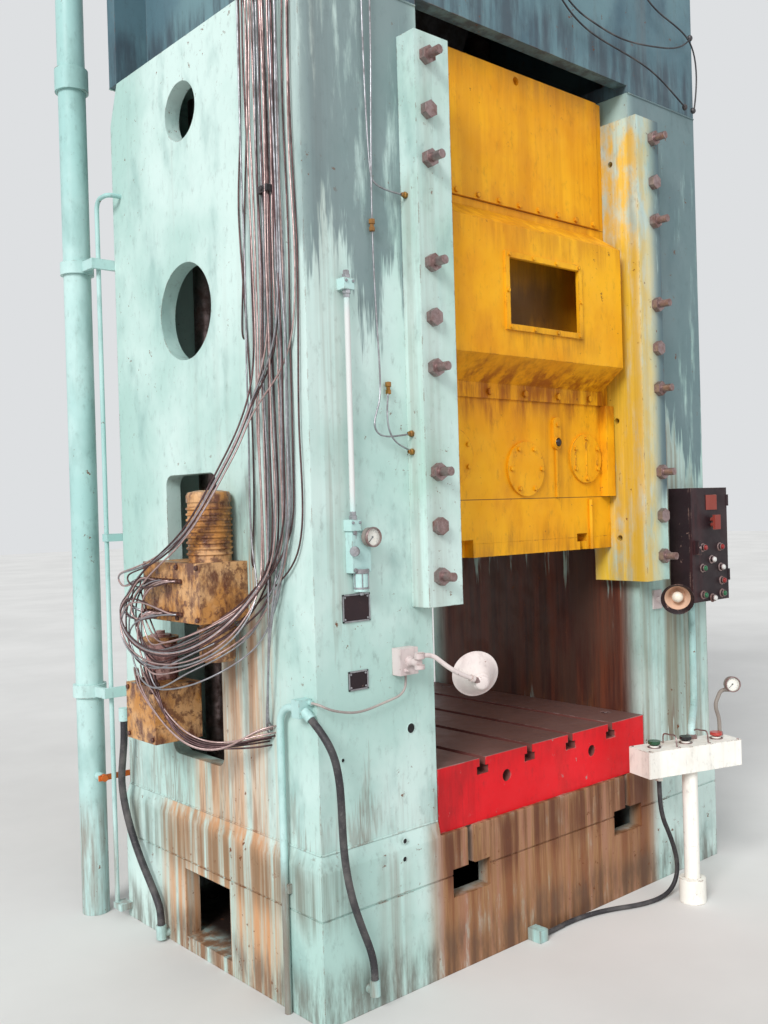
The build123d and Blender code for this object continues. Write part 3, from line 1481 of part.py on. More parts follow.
console_hose_points = (
    hose_exit,
    (*gland_at, 420),
    (455, front - 182, 340),
    (508, front - 173, 270),
    (556, front - 164, 195),
    (586, front - 156, 130),
    (590, front - 152, 88),
    (577, front - 149, 50),
    (550, front - 146, 24),
    (510, front - 144, floor_hose_z + 1),
    (440, front - 145, floor_hose_z),
    (350, front - 125, floor_hose_z),
    (255, front - 79, floor_hose_z),
    (150, front - 47, floor_hose_z),
    (35, front - 35, floor_hose_z),
    (-60, front - 43, floor_hose_z),
    floor_gland,
)
drain_hose_points = (
    drain_hose_root,
    (side_face - 60, rear - 80, 735),
    (side_face - 63, rear - 67, 650),
    (side_face - 65, rear - 53, 565),
    (side_face - 62, rear - 67, 475),
    (side_face - 57, rear - 103, 380),
    (side_face - 51, rear - 159, 285),
    (side_face - 46, rear - 225, 205),
    (side_face - 45, rear - 277, 150),
    (side_face - 45, rear - 303, 105),
    drain_gland,
)
for name, points, radius in (
    ("drain_hose", drain_hose_points, drain_hose_radius),
    ("corner_hose", corner_hose_points, hose_radius),
    ("lamp_cable", lamp_cable_points, cable_radius),
    ("console_hose", console_hose_points, floor_hose_radius),
):
    with BuildPart() as cord:
        tube(points, radius)
    save(cord, name)
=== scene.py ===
import random
from math import cos, pi, radians, sin, sqrt

import bmesh
import bpy
from mathutils import Matrix, Vector


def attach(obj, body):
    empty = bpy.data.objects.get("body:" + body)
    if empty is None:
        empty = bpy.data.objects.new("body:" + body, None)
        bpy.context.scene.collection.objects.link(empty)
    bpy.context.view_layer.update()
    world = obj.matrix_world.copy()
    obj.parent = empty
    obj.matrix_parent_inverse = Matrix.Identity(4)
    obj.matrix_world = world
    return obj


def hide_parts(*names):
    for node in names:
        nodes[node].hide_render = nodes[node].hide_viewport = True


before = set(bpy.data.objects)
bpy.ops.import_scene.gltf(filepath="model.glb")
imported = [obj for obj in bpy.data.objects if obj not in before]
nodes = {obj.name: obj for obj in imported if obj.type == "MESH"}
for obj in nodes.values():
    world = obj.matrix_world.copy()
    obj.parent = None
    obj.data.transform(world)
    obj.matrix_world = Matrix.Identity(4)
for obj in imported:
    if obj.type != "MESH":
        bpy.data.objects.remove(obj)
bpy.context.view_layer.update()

# Camera: stands by the press's left front corner at head height and looks across it.
# Place, turn, tilt and lens come from a fit to the photograph.
camera_at = Vector((-3.026, -3.156, 1.611))
camera_turn = radians(41.229)
camera_tilt = radians(-0.349)
camera_roll = -0.0286
focal_share = 1027.1 / 1024
sensor_size = 36

sight = Vector((sin(camera_turn) * cos(camera_tilt), cos(camera_turn) * cos(camera_tilt), sin(camera_tilt)))
level = Vector((cos(camera_turn), -sin(camera_turn), 0))
raised = level.cross(sight)
upright = sqrt(1 - camera_roll ** 2)
across = upright * level + camera_roll * raised
above = -camera_roll * level + upright * raised
view = Matrix((across, above, -sight)).transposed().to_4x4()
view.translation = camera_at
camera_data = bpy.data.cameras.new("camera")
camera_data.sensor_width = sensor_size
camera_data.lens = sensor_size * focal_share
camera = bpy.data.objects.new("camera", camera_data)
camera.matrix_world = view
bpy.context.scene.collection.objects.link(camera)
bpy.context.scene.camera = camera

# Hoses: four rubber hoses of the press, each pushed on a nozzle at one end and into a gland at the other.
# Black rubber gone grey with dust; the points are the middle line of each hose.
MM = 0.001


def put(tree, kind, inputs, **settings):
    """Adds a node; each input is a number, a colour or another node's output."""
    node = tree.nodes.new(kind)
    for key, value in settings.items():
        setattr(node, key, value)
    for key, value in inputs.items():
        if isinstance(value, bpy.types.NodeSocket):
            tree.links.new(value, node.inputs[key])
        else:
            node.inputs[key].default_value = value
    return node


def surface(name):
    """A new material, its node tree, its surface shader and the place on the piece."""
    made = bpy.data.materials.new(name)
    made.use_nodes = True
    tree = made.node_tree
    place = put(tree, "ShaderNodeTexCoord", {}).outputs["Object"]
    return made, tree, tree.nodes["Principled BSDF"], place


def cloud(tree, place, scale, stretch=(1, 1, 1), detail=5, coarse=0.6):
    """Uneven patches; stretch under 1 draws them out along that axis."""
    drawn = put(tree, "ShaderNodeMapping", {"Vector": place, "Scale": stretch}).outputs[0]
    inputs = {"Vector": drawn, "Scale": scale, "Detail": detail, "Roughness": coarse}
    return put(tree, "ShaderNodeTexNoise", inputs).outputs[0]


def ramp(tree, value, low, high, start=0.0, end=1.0):
    """Turns a value into a share, start at low and end at high, with soft ends."""
    limits = {"Value": value, "From Min": low, "From Max": high, "To Min": start, "To Max": end}
    return put(tree, "ShaderNodeMapRange", limits, interpolation_type="SMOOTHSTEP").outputs[0]


def sums(tree, first, second, operation="MULTIPLY"):
    """One sum of two values, kept between 0 and 1; it multiplies unless another operation is named."""
    return put(tree, "ShaderNodeMath", {0: first, 1: second}, operation=operation, use_clamp=True).outputs[0]


def shade_of(colour):
    """The linear values of a colour given as it looks on a screen, from 0 to 255; others stay as they are."""
    if not isinstance(colour, tuple) or len(colour) == 4:
        return colour
    shares = [c / 255 for c in colour]
    linear = [c / 12.92 if c <= 10 / 255 else ((c + 0.055) / 1.055) ** 2.4 for c in shares]
    return (*linear, 1.0)


def tint(tree, share, under, over):
    """Lays one colour over another by a share; each is a colour or another node's output."""
    colours = {0: share, 6: shade_of(under), 7: shade_of(over)}
    return put(tree, "ShaderNodeMix", colours, data_type="RGBA").outputs[2]


def grain(tree, shader, height, strength, depth, rounding=0.0):
    """Relief from a height value; rounding softens the solid's sharp edges."""
    inputs = {"Height": height, "Strength": strength, "Distance": depth}
    if rounding:
        inputs["Normal"] = put(tree, "ShaderNodeBevel", {"Radius": rounding}, samples=4).outputs[0]
    tree.links.new(put(tree, "ShaderNodeBump", inputs).outputs[0], shader.inputs["Normal"])


def coat(tree, shader, colour, roughness):
    """Gives a surface its colour and its roughness."""
    tree.links.new(colour, shader.inputs["Base Color"])
    tree.links.new(roughness, shader.inputs["Roughness"])


def dusty_rubber(name, colour, dust, rough=0.62):
    """Rubber or cable sheath with dust in patches and specks."""
    made, tree, shader, place = surface(name)
    patches = ramp(tree, cloud(tree, place, 9), 0.42, 0.7, 0.0, 0.75)
    specks = ramp(tree, cloud(tree, place, 140, detail=3), 0.55, 0.72, 0.0, 0.5)
    dusted = tint(tree, specks, tint(tree, patches, colour, dust), dust)
    coat(tree, shader, dusted, ramp(tree, patches, 0.0, 0.7, rough, rough + 0.22))
    grain(tree, shader, cloud(tree, place, 260, detail=2), 0.25, 0.0006)
    return made


def bent_line(name, routes, radius, material, order=3, steps=10, sides=3):
    """Round tubes on smooth lines; each route is a list of points in millimetres."""
    curve = bpy.data.curves.new(name, "CURVE")
    curve.dimensions = "3D"
    curve.bevel_depth = radius * MM
    curve.bevel_resolution = sides
    curve.resolution_u = steps
    curve.use_fill_caps = True
    for route in routes:
        line = curve.splines.new("NURBS")
        line.points.add(len(route) - 1)
        for point, at in zip(line.points, route):
            point.co = (at[0] * MM, at[1] * MM, at[2] * MM, 1)
        line.order_u = order
        line.use_endpoint_u = True
    curve.materials.append(material)
    piece = bpy.data.objects.new(name, curve)
    bpy.context.scene.collection.objects.link(piece)
    return piece


side_face = -1105
front = -625
black_hose = dusty_rubber("black_hose_rubber", (40, 38, 42), (104, 100, 98))
grey_cable = dusty_rubber("grey_cable_sheath", (150, 138, 134), (186, 178, 170), 0.5)

nozzle_way = Vector((0.15, -0.75, -0.65)).normalized()
nozzle_start = Vector((side_face - 30, -596, 984))
corner_route = (
    tuple(nozzle_start + nozzle_way * 38),
    tuple(nozzle_start + nozzle_way * 92),
    (-1110, -708, 862), (-1098, -716, 785), (-1085, -706, 700), (-1074, -694, 605),
    (-1058, -684, 500), (-1030, -677, 392), (-990, -671, 292), (-952, -668, 205),
    (-940, -668, 150), (-940, -668, 110),
)
cable_route = (
    (-1117, -614, 1007), (-1117, -648, 1007), (-1091.45, -665, 990), (-1034.875, -655, 972),
    (-974.65, -650, 960), (-918.075, -648, 962), (-865.15, -647, 971), (-815.875, -646, 979),
    (-778, -646, 987), (-757, -646, 1005), (-752, -646, 1027), (-752, -646, 1053),
)
drain_route = (
    (-1165, 545, 800), (-1165, 545, 735), (-1168, 558, 650), (-1170, 572, 565),
    (-1167, 558, 475), (-1162, 522, 380), (-1156, 466, 285), (-1151, 400, 205),
    (-1150, 348, 150), (-1150, 322, 105), (-1150, 322, 60),
)
console_route = (
    (433, -809, 497), (433, -809, 420), (455, -807, 340), (508, -798, 270), (556, -789, 195),
    (586, -781, 130), (590, -777, 88), (577, -774, 50), (550, -771, 24), (510, -769, 11),
    (440, -770, 10), (350, -750, 10), (255, -704, 10), (150, -672, 10), (35, -660, 10),
    (-60, -668, 10), (-130, -668, 10),
)
for name, route, radius, length, rubber in (
    ("corner_hose_line", corner_route, 12, 0.905, black_hose),
    ("lamp_cable_line", cable_route, 4, 0.457, grey_cable),
    ("drain_hose_line", drain_route, 14, 0.812, black_hose),
    ("console_hose_line", console_route, 9, 1.22, black_hose),
):
    hose = bent_line(name, [route], radius, rubber, steps=12, sides=5)
    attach(hose, "frame")
    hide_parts(name.replace("_line", ""))

# Frame paint: pale mint gloss brushed on weldments and castings years ago.
# It has run with oil and rust below every joint, chipped to dark primer and worn at the edges.
mint = (170, 201, 193)
mint_pale = (202, 223, 217)
mint_deep = (134, 167, 162)
rust_brown = (112, 66, 38)
rust_orange = (202, 128, 58)
oil_dark = (48, 34, 30)


def edge_share(tree, radius):
    """How near an edge is, from the angle between the flat face and a rounded one."""
    rounded = put(tree, "ShaderNodeBevel", {"Radius": radius}, samples=4).outputs[0]
    flat = put(tree, "ShaderNodeNewGeometry", {}).outputs["Normal"]
    both = put(tree, "ShaderNodeVectorMath", {0: rounded, 1: flat}, operation="DOT_PRODUCT")
    return ramp(tree, both.outputs["Value"], 0.99, 0.86)


def within(tree, axes, spans, soft):
    """One inside a box of spans in metres and nothing outside it; an open span is None."""
    share = None
    for axis, span in zip(axes, spans):
        if span is None:
            continue
        for limit, way in ((span[0], 1), (span[1], -1)):
            edge = ramp(tree, axis, limit - way * soft, limit + way * soft)
            share = edge if share is None else sums(tree, share, edge)
    return share


def aged_paint(
    name, colours, runs, chips, wear, stains_and_shade=(), marks=(), rough=0.38, bare=None, rounding=0.003, ragged=0.25
):
    """Brushed paint on steel; stains_and_shade are (spans, colour, strength, run length) in the press's own
    frame, each a real stain or a patch of painted shade; a strength over one covers more of its span, and
    marks are sharp-edged (spans, colour, strength).
    Ragged is how far the stains' upper and lower ends wander, in metres."""
    made, tree, shader, place = surface(name)
    axes = put(tree, "ShaderNodeSeparateXYZ", {0: place}).outputs
    base, pale, deep = colours
    under = bare or rust_brown
    colour = tint(tree, ramp(tree, cloud(tree, place, 1.3), 0.36, 0.64), base, pale)
    colour = tint(tree, ramp(tree, cloud(tree, place, 5.5, (1, 1, 0.45)), 0.5, 0.72, 0.0, 0.6), colour, deep)
    area = ramp(tree, cloud(tree, place, 1.1, (1, 1, 0.6), 3), 0.42, 0.66)
    for width, start in ((3.1, 0.56), (0.9, 0.5)):
        streak = cloud(tree, place, width, (7, 7, 0.24), 6, 0.62)
        run_share = sums(tree, ramp(tree, streak, start, start + 0.2, 0.0, runs * 0.7), area)
        colour = tint(tree, run_share, colour, rust_brown)
    fine = cloud(tree, place, 38, (1, 1, 0.5), 6, 0.7)
    colour = tint(tree, ramp(tree, fine, 0.52, 0.8, 0.0, 0.35), colour, oil_dark)
    wander = cloud(tree, place, 3.0, (4, 4, 0.3), 5, 0.7)
    lifted = put(tree, "ShaderNodeMath", {0: wander, 1: ragged, 2: axes[2]}, operation="MULTIPLY_ADD")
    height = put(tree, "ShaderNodeMath", {0: lifted.outputs[0], 1: ragged / 2}, operation="SUBTRACT")
    stain_axes = (axes[0], axes[1], height.outputs[0])
    for spans, stain, strength, length in stains_and_shade:
        patch = cloud(tree, place, 3.4, (5, 5, length), 6, 0.66)
        start = 0.36 - 0.4 * max(0, strength - 1)
        covered = ramp(tree, patch, start, start + 0.26, 0.0, min(1, strength))
        share = sums(tree, within(tree, stain_axes, spans, 0.06), covered)
        colour = tint(tree, share, colour, stain)
    for spans, mark, strength in marks:
        colour = tint(tree, sums(tree, within(tree, axes, spans, 0.0012), strength), colour, mark)
    chip_start = 0.665 - 0.05 * chips
    chipped = ramp(tree, cloud(tree, place, 30, detail=8, coarse=0.72), chip_start, 0.685 - 0.05 * chips)
    sparse = ramp(tree, cloud(tree, place, 2.1, detail=3), 0.44, 0.6)
    chip_share = sums(tree, chipped, sparse)
    edge = edge_share(tree, 0.006)
    rubbed = sums(tree, edge, ramp(tree, cloud(tree, place, 17, detail=6, coarse=0.7), 0.5, 0.62, 0.0, wear))
    lost = sums(tree, chip_share, rubbed, "MAXIMUM")
    colour = tint(tree, lost, colour, under)
    roughness = ramp(tree, cloud(tree, place, 11), 0.3, 0.75, rough, rough + 0.25)
    coat(tree, shader, colour, sums(tree, roughness, sums(tree, lost, 0.35), "ADD"))
    shader.inputs["Specular IOR Level"].default_value = 0.28
    relief = sums(tree, sums(tree, fine, 0.35), sums(tree, lost, 0.5), "SUBTRACT")
    grain(tree, shader, relief, 0.35, 0.0016, rounding)
    return made


def dress(material, *names):
    """Gives CAD nodes their finish."""
    for name in names:
        nodes[name].data.materials.clear()
        nodes[name].data.materials.append(material)


under_pumps = ((-1.3, -1.09), (-0.42, 0.12), (0.30, 1.24))
round_pumps = ((-1.3, -1.09), (-0.36, 0.34), (0.74, 1.52))
column_paint = aged_paint(
    "mint_column_paint",
    (mint, mint_pale, mint_deep),
    runs=0.4,
    chips=0.6,
    wear=0.8,
    stains_and_shade=(
        (under_pumps, rust_orange, 0.95, 0.16),
        (round_pumps, (96, 58, 36), 0.7, 0.5),
        (((-1.06, -0.99), (-0.68, -0.6), (1.2, 3.4)), rust_brown, 0.7, 0.1),
        # Painted shade: the upper fronts of both columns are darkened to grey teal, most on the right, for
        # the shade that falls on them high up.
        (((-1.12, -0.6), (-0.68, -0.6), (2.35, 3.6)), (98, 114, 118), 1.35, 0.7),
        (((0.6, 1.16), (-0.68, -0.6), (1.8, 3.6)), (72, 92, 102), 1.4, 0.7),
        (((0.6, 1.12), (-0.68, -0.6), (0.5, 1.75)), (132, 124, 92), 0.8, 0.14),
        (((0.6, 1.12), (-0.68, -0.6), (0.5, 1.75)), rust_brown, 0.5, 0.1),
        # The columns' inner faces round the die space are rusty brown, deepened to near black by painted
        # shade where the die space lies in shadow.
        (((-0.68, 0.68), (-0.57, 0.57), (0.5, 1.42)), (104, 54, 36), 1.7, 0.8),
        (((-0.68, 0.68), (-0.57, 0.57), (0.5, 1.42)), (58, 28, 24), 0.9, 0.25),
        (((-0.68, 0.68), (-0.5, 0.5), (0.5, 3.2)), (82, 62, 50), 0.5, 0.6),
        ((None, None, (0.5, 0.62)), rust_brown, 0.5, 0.3),
    ),
    ragged=1.6,
)
bed_paint = aged_paint(
    "mint_bed_paint",
    (mint, mint_pale, mint_deep),
    runs=0.5,
    chips=0.8,
    wear=0.95,
    stains_and_shade=(
        (((-0.64, 0.64), (-0.74, -0.6), (-0.1, 0.54)), (156, 98, 68), 1.4, 1.2),
        (((-0.62, 0.62), (-0.72, -0.6), (-0.1, 0.52)), (186, 156, 92), 0.8, 0.16),
        (((-0.62, 0.62), (-0.72, -0.6), (-0.1, 0.52)), (116, 58, 40), 0.9, 0.2),
        (((-0.62, 0.62), (-0.72, -0.6), (0.3, 0.52)), (82, 42, 28), 0.8, 0.2),
        (((-0.86, -0.78), (-0.72, -0.6), (-0.1, 0.45)), rust_brown, 0.7, 0.1),
        (((-1.3, -1.0), (-0.42, 0.35), (-0.1, 0.6)), rust_orange, 0.8, 0.14),
        (((-1.3, -1.0), (-0.72, 0.7), (0.3, 0.5)), (96, 82, 62), 0.7, 0.12),
        ((None, None, (-0.1, 0.14)), (84, 66, 54), 0.7, 0.9),
        # Painted shade: the inside of the hollow bed, seen through its doorway and slots, is near black.
        (((-1.04, 1.04), (-0.57, 0.57), (-0.1, 0.5)), (44, 34, 30), 2.0, 0.8),
    ),
)
# Painted shade: the crown, shaft brackets and brake cover carry the frame's mint darkened to blue teal for
# the shade high up, with a darker band of painted shade at the crown's foot.
crown_coat_in_painted_shade = aged_paint(
    "mint_crown_painted_shade",
    ((86, 114, 124), (108, 138, 144), (58, 82, 96)),
    runs=0.4,
    chips=0.6,
    wear=0.7,
    stains_and_shade=(((None, None, (3.2, 3.5)), (56, 60, 70), 0.7, 0.6),),
)
gib_paint = aged_paint(
    "mint_gib_paint",
    ((168, 200, 188), mint_pale, mint_deep),
    runs=0.35,
    chips=0.7,
    wear=1.0,
    stains_and_shade=(
        # Painted shade: the right gib's front face is darkened to grey teal.
        (((0.63, 0.9), (-0.8, -0.66), (1.6, 3.6)), (84, 104, 110), 1.5, 0.8),
        (((0.48, 0.612), (-0.72, -0.44), None), (228, 190, 84), 1.0, 2.0),
        (((0.48, 0.612), (-0.72, -0.44), (1.2, 2.7)), (226, 186, 58), 1.2, 0.5),
        (((0.48, 0.612), (-0.72, -0.44), None), rust_brown, 0.35, 0.12),
        (((-0.72, -0.6), (-0.72, -0.6), (1.2, 2.7)), rust_brown, 0.4, 0.12),
    ),
)
dress(column_paint, "left_column", "right_column")
dress(bed_paint, "bed")
dress(crown_coat_in_painted_shade, "crown", "shaft_brackets", "brake_cover")
dress(gib_paint, "gibs")

# Bare steel: nuts, studs, pins and the shaft, turned or forged and left without paint.
# Handled steel is browned; pins and bushes are bright under an oil film.


def bare_metal(name, colour, stain, share, rough=0.36, ring_axis=None):
    """Unpainted metal, stained over a share of its face, with tool marks along or round its axis."""
    made, tree, shader, place = surface(name)
    patch = ramp(tree, cloud(tree, place, 14, detail=7, coarse=0.68), 0.42, 0.68, 0.0, share)
    darker = (*(0.72 * c for c in shade_of(colour)[:3]), 1.0)
    tone = tint(tree, ramp(tree, cloud(tree, place, 60), 0.35, 0.7), colour, darker)
    coat(tree, shader, tint(tree, patch, tone, stain), ramp(tree, patch, 0.0, share, rough, 0.8))
    tree.links.new(ramp(tree, patch, 0.0, share, 1.0, 0.25), shader.inputs["Metallic"])
    stretch = {None: (1, 1, 1), "x": (0.02, 1, 1), "turned": (6, 0.4, 0.4)}[ring_axis]
    grain(tree, shader, cloud(tree, place, 160, stretch, 3), 0.22, 0.0006, 0.002)
    return made


handled_steel = bare_metal("handled_steel", (172, 150, 148), (98, 60, 48), 0.85, 0.42)
bright_steel = bare_metal("bright_steel", (190, 190, 192), (96, 80, 62), 0.35, 0.24, "turned")
dark_iron = bare_metal("dark_iron", (96, 94, 96), (62, 46, 38), 0.8, 0.5)
bronze = bare_metal("oiled_bronze", (176, 128, 70), (84, 54, 30), 0.5, 0.3, "turned")
dress(handled_steel, "gib_fasteners", "bolster_screws", "tie_rods")
dress(bright_steel, "crown_pin", "knuckle_pin", "wrist_pin", "eccentric_shaft")
dress(dark_iron, "crown_block", "upper_link", "lower_link", "pitman")
dress(dark_iron, "brake_disc", "clutch_drum", "flywheel", "motor_pulley")
dress(bronze, "upper_link_bush", "lower_link_bushes", "shaft_bushes")

# Slide: the ram, a welded box with bolted plates, brushed amber-yellow and stained by oil from its gear.
# The seam above its foot and the shadow line under the hood's strip are drawn on the paint.
amber = (224, 150, 4)
amber_pale = (238, 174, 24)
amber_deep = (200, 122, 4)
slide_paint = aged_paint(
    "amber_slide_paint",
    (amber, amber_pale, amber_deep),
    runs=0.12,
    chips=0.4,
    wear=0.85,
    stains_and_shade=(
        # The slide's face inside the hood, seen through its window, is oily brown deepened to near black in
        # the middle by painted shade of the hood's hollow.
        (((-0.25, 0.3), (-0.56, -0.5), (2.2, 2.55)), (104, 66, 24), 1.6, 0.8),
        (((-0.14, 0.22), (-0.56, -0.5), (2.26, 2.46)), (40, 24, 16), 1.3, 0.6),
        (((-0.2, 0.3), (-0.72, -0.6), (2.2, 2.26)), (120, 74, 18), 0.6, 0.6),
        (((-0.6, 0.6), (-0.72, -0.5), (1.95, 2.12)), (150, 78, 6), 0.95, 0.8),
        (((0.1, 0.28), (-0.7, -0.5), (1.6, 1.96)), (142, 84, 14), 0.45, 0.14),
        (((-0.6, 0.6), (-0.7, -0.5), (2.55, 2.75)), (176, 104, 10), 0.5, 0.4),
        (((-0.6, 0.6), (-0.7, -0.5), (2.7, 3.4)), (196, 122, 10), 0.45, 0.25),
        (((-0.6, 0.6), (-0.7, -0.5), (3.2, 3.4)), (150, 96, 34), 0.4, 0.3),
        (((-0.6, 0.6), (-0.7, -0.5), (1.38, 1.48)), (132, 78, 20), 0.6, 0.6),
    ),
    marks=(
        (((-0.54, 0.54), (-0.6, -0.534), (1.6215, 1.6245)), oil_dark, 0.85),
        (((-0.54, 0.54), (-0.6, -0.534), (2.7315, 2.7345)), oil_dark, 0.7),
    ),
    rough=0.42,
)
dress(slide_paint, "slide", "slide_cover", "slide_hood", "slide_fittings", "slide_screws")
dress(slide_paint, "die_holder", "belt_guard")

# Bolster: a thick machined steel plate with T slots, screwed down on the bed.
# Its front and rear are brushed bright red; its ends, its top and a strip below it are bare steel.
red_front = (212, 8, 22)
bolster_paint = aged_paint(
    "red_bolster_paint",
    (red_front, (224, 22, 34), (168, 8, 18)),
    runs=0.12,
    chips=0.6,
    wear=1.0,
    stains_and_shade=(
        (((-0.62, -0.40), (-0.64, -0.6), (0.47, 0.72)), (110, 14, 18), 0.7, 0.5),
        (((-0.62, 0.62), (-0.64, -0.6), (0.66, 0.72)), (120, 20, 22), 0.6, 0.6),
    ),
    marks=(
        ((None, None, (0.7048, 0.72)), (134, 108, 104), 0.94),
        ((None, (-0.622, 0.622), None), (104, 76, 70), 0.9),
    ),
    rough=0.4,
    bare=(160, 134, 130),
)
dress(bolster_paint, "bolster")

# Small painted pieces: threaded pipe, bent tube and folded sheet boxes, fixed on the frame.
# Pipe and tube work is brushed over in the frame's mint; boxes, lamps, lever and gauges have enamels.
pipe_paint = aged_paint(
    "mint_pipe_paint",
    ((158, 196, 192), (188, 216, 212), mint_deep),
    runs=0.4,
    chips=0.55,
    wear=0.8,
    stains_and_shade=(
        ((None, None, (-0.1, 0.45)), rust_brown, 0.7, 0.4),
        (((-1.02, -0.9), (-0.72, -0.58), (1.62, 2.26)), (208, 208, 206), 2.0, 1.0),
    ),
    rounding=0.0015,
    ragged=0.0,
)
off_whites = ((226, 224, 214), (240, 238, 230), (190, 180, 164))
enamels = []
for name, shades, runs, chips, wear, bare, rounding in (
    ("pale_lamp_enamel", ((206, 192, 190), (226, 214, 208), (160, 136, 134)), 0.25, 0.35, 0.7, None, 0.001),
    ("off_white_console_paint", off_whites, 0.35, 0.7, 1.0, None, 0.0015),
    # The control box's dark maroon enamel is deepened further by painted shade.
    ("dark_box_enamel_and_painted_shade", ((36, 25, 29), (54, 34, 38), (20, 14, 17)), 0.15, 0.5, 0.9, (140, 110, 100), 0.0015),
    ("orange_lever_paint", ((202, 98, 38), (216, 120, 56), (140, 60, 26)), 0.2, 0.7, 1.0, None, 0.001),
    ("black_pointer_paint", ((26, 26, 28), (40, 40, 42), (16, 16, 18)), 0.0, 0.1, 0.3, None, 0.0),
    ("grey_gauge_case", ((120, 112, 106), (150, 142, 134), (78, 70, 66)), 0.2, 0.5, 1.0, None, 0.001),
):
    enamels.append(aged_paint(name, shades, runs, chips, wear, bare=bare, rounding=rounding))
enamel, console_paint, box_enamel_dark_and_shaded, lever_paint, pointer_paint, case_paint = enamels
dress(pipe_paint, "air_riser", "riser_fittings", "conduits", "filter_unit", "motor")
dress(enamel, "lamp_brackets", "lamp_arm")
dress(console_paint, "console_box", "console_pedestal")
dress(box_enamel_dark_and_shaded, "control_box")
dress(lever_paint, "valve_lever")
dress(pointer_paint, "filter_pointer", "console_pointer")
dress(case_paint, "gauges")
dress(black_hose, "v_belts")

# Push buttons: mushroom caps of pressed plastic, green, black and red.
# Each stands on a stem in the console's lid, its face dulled by use.


def moulded(name, colour, worn, rough=0.28):
    """Plastic, glass or printed sheet with fine scuffs."""
    made, tree, shader, place = surface(name)
    scuffs = ramp(tree, cloud(tree, place, 90, detail=7, coarse=0.7), 0.5, 0.7, 0.0, 0.55)
    coat(tree, shader, tint(tree, scuffs, colour, worn), ramp(tree, scuffs, 0.0, 0.55, rough, 0.6))
    grain(tree, shader, cloud(tree, place, 400, detail=2), 0.12, 0.0003, 0.0012)
    return made


dress(moulded("green_button", (30, 74, 48), (92, 110, 92)), "start_button")
dress(moulded("black_button", (26, 24, 26), (96, 88, 84)), "jog_button")
dress(moulded("red_button", (170, 52, 46), (206, 150, 140)), "stop_button")

# Lubrication pumps: cast gear-pump bodies with a motor, an oil jar and a filter drum, soaked in old oil.
# Their outlets are rows of small unions along the outer faces.


def soaked_paint(name, colour, pale, oil):
    """Old paint under runs and clots of oil, wet where the oil lies."""
    made, tree, shader, place = surface(name)
    tone = tint(tree, ramp(tree, cloud(tree, place, 7), 0.38, 0.62), colour, pale)
    run = ramp(tree, cloud(tree, place, 9, (1.8, 1.8, 0.8), 7, 0.66), 0.46, 0.62, 0.0, 0.9)
    clot = ramp(tree, cloud(tree, place, 26, detail=7, coarse=0.7), 0.48, 0.6, 0.0, 0.8)
    wet = sums(tree, run, clot, "MAXIMUM")
    coat(tree, shader, tint(tree, wet, tone, oil), ramp(tree, wet, 0.0, 1.0, 0.6, 0.24))
    grain(tree, shader, sums(tree, cloud(tree, place, 70), sums(tree, clot, 0.6), "ADD"), 0.55, 0.0025, 0.004)
    return made


pump_shades = ((184, 126, 62), (206, 160, 112), (84, 42, 34))
jar_shades = ((186, 140, 136), (208, 170, 162), (96, 44, 40))
pump_finish = soaked_paint("oil_soaked_amber", *pump_shades)
jar_finish = soaked_paint("oil_stained_pink", *jar_shades)
dress(pump_finish, "lube_pumps")


def add_piece(name, form, material, body, smooth=True, sharp=0.6):
    """Puts a finished form in the scene on the body that carries it."""
    mesh = finished(form, name, smooth, sharp)
    mesh.materials.append(material)
    piece = bpy.data.objects.new(name, mesh)
    bpy.context.scene.collection.objects.link(piece)
    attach(piece, body)
    return piece


def turn_profile(form, at, way, profile, sides=32):
    """Adds a turned form to a mesh; the profile is (radius, distance along the way) in millimetres."""
    start = Vector(at) * MM
    along = Vector(way).normalized()
    side = along.orthogonal().normalized()
    other = along.cross(side)
    rings = []
    for radius, distance in profile:
        centre = start + along * distance * MM
        if radius < 0.01:
            rings.append([form.verts.new(centre)])
            continue
        ring = []
        for index in range(sides):
            angle = 2 * pi * index / sides
            ring.append(form.verts.new(centre + (side * cos(angle) + other * sin(angle)) * radius * MM))
        rings.append(ring)
    for low, high in zip(rings, rings[1:]):
        for index in range(sides):
            after = (index + 1) % sides
            if len(low) == 1 and len(high) == 1:
                continue
            if len(low) == 1:
                corners = (low[0], high[after], high[index])
            elif len(high) == 1:
                corners = (low[index], low[after], high[0])
            else:
                corners = (low[index], low[after], high[after], high[index])
            form.faces.new(corners)


def finished(form, name, smooth=True, sharp=0.6):
    """Turns a form's faces outwards and returns its mesh, smooth but for its sharp edges."""
    bmesh.ops.recalc_face_normals(form, faces=form.faces)
    for face in form.faces:
        face.smooth = smooth
    for edge in form.edges:
        edge.smooth = len(edge.link_faces) != 2 or edge.calc_face_angle(0) < sharp
    mesh = bpy.data.meshes.new(name)
    form.to_mesh(mesh)
    form.free()
    return mesh


def nut_profile(radius, height):
    """A chamfered nut or head, standing on its face."""
    return ((0, 0), (radius, 0), (radius, height * 0.82), (radius * 0.86, height), (0, height))


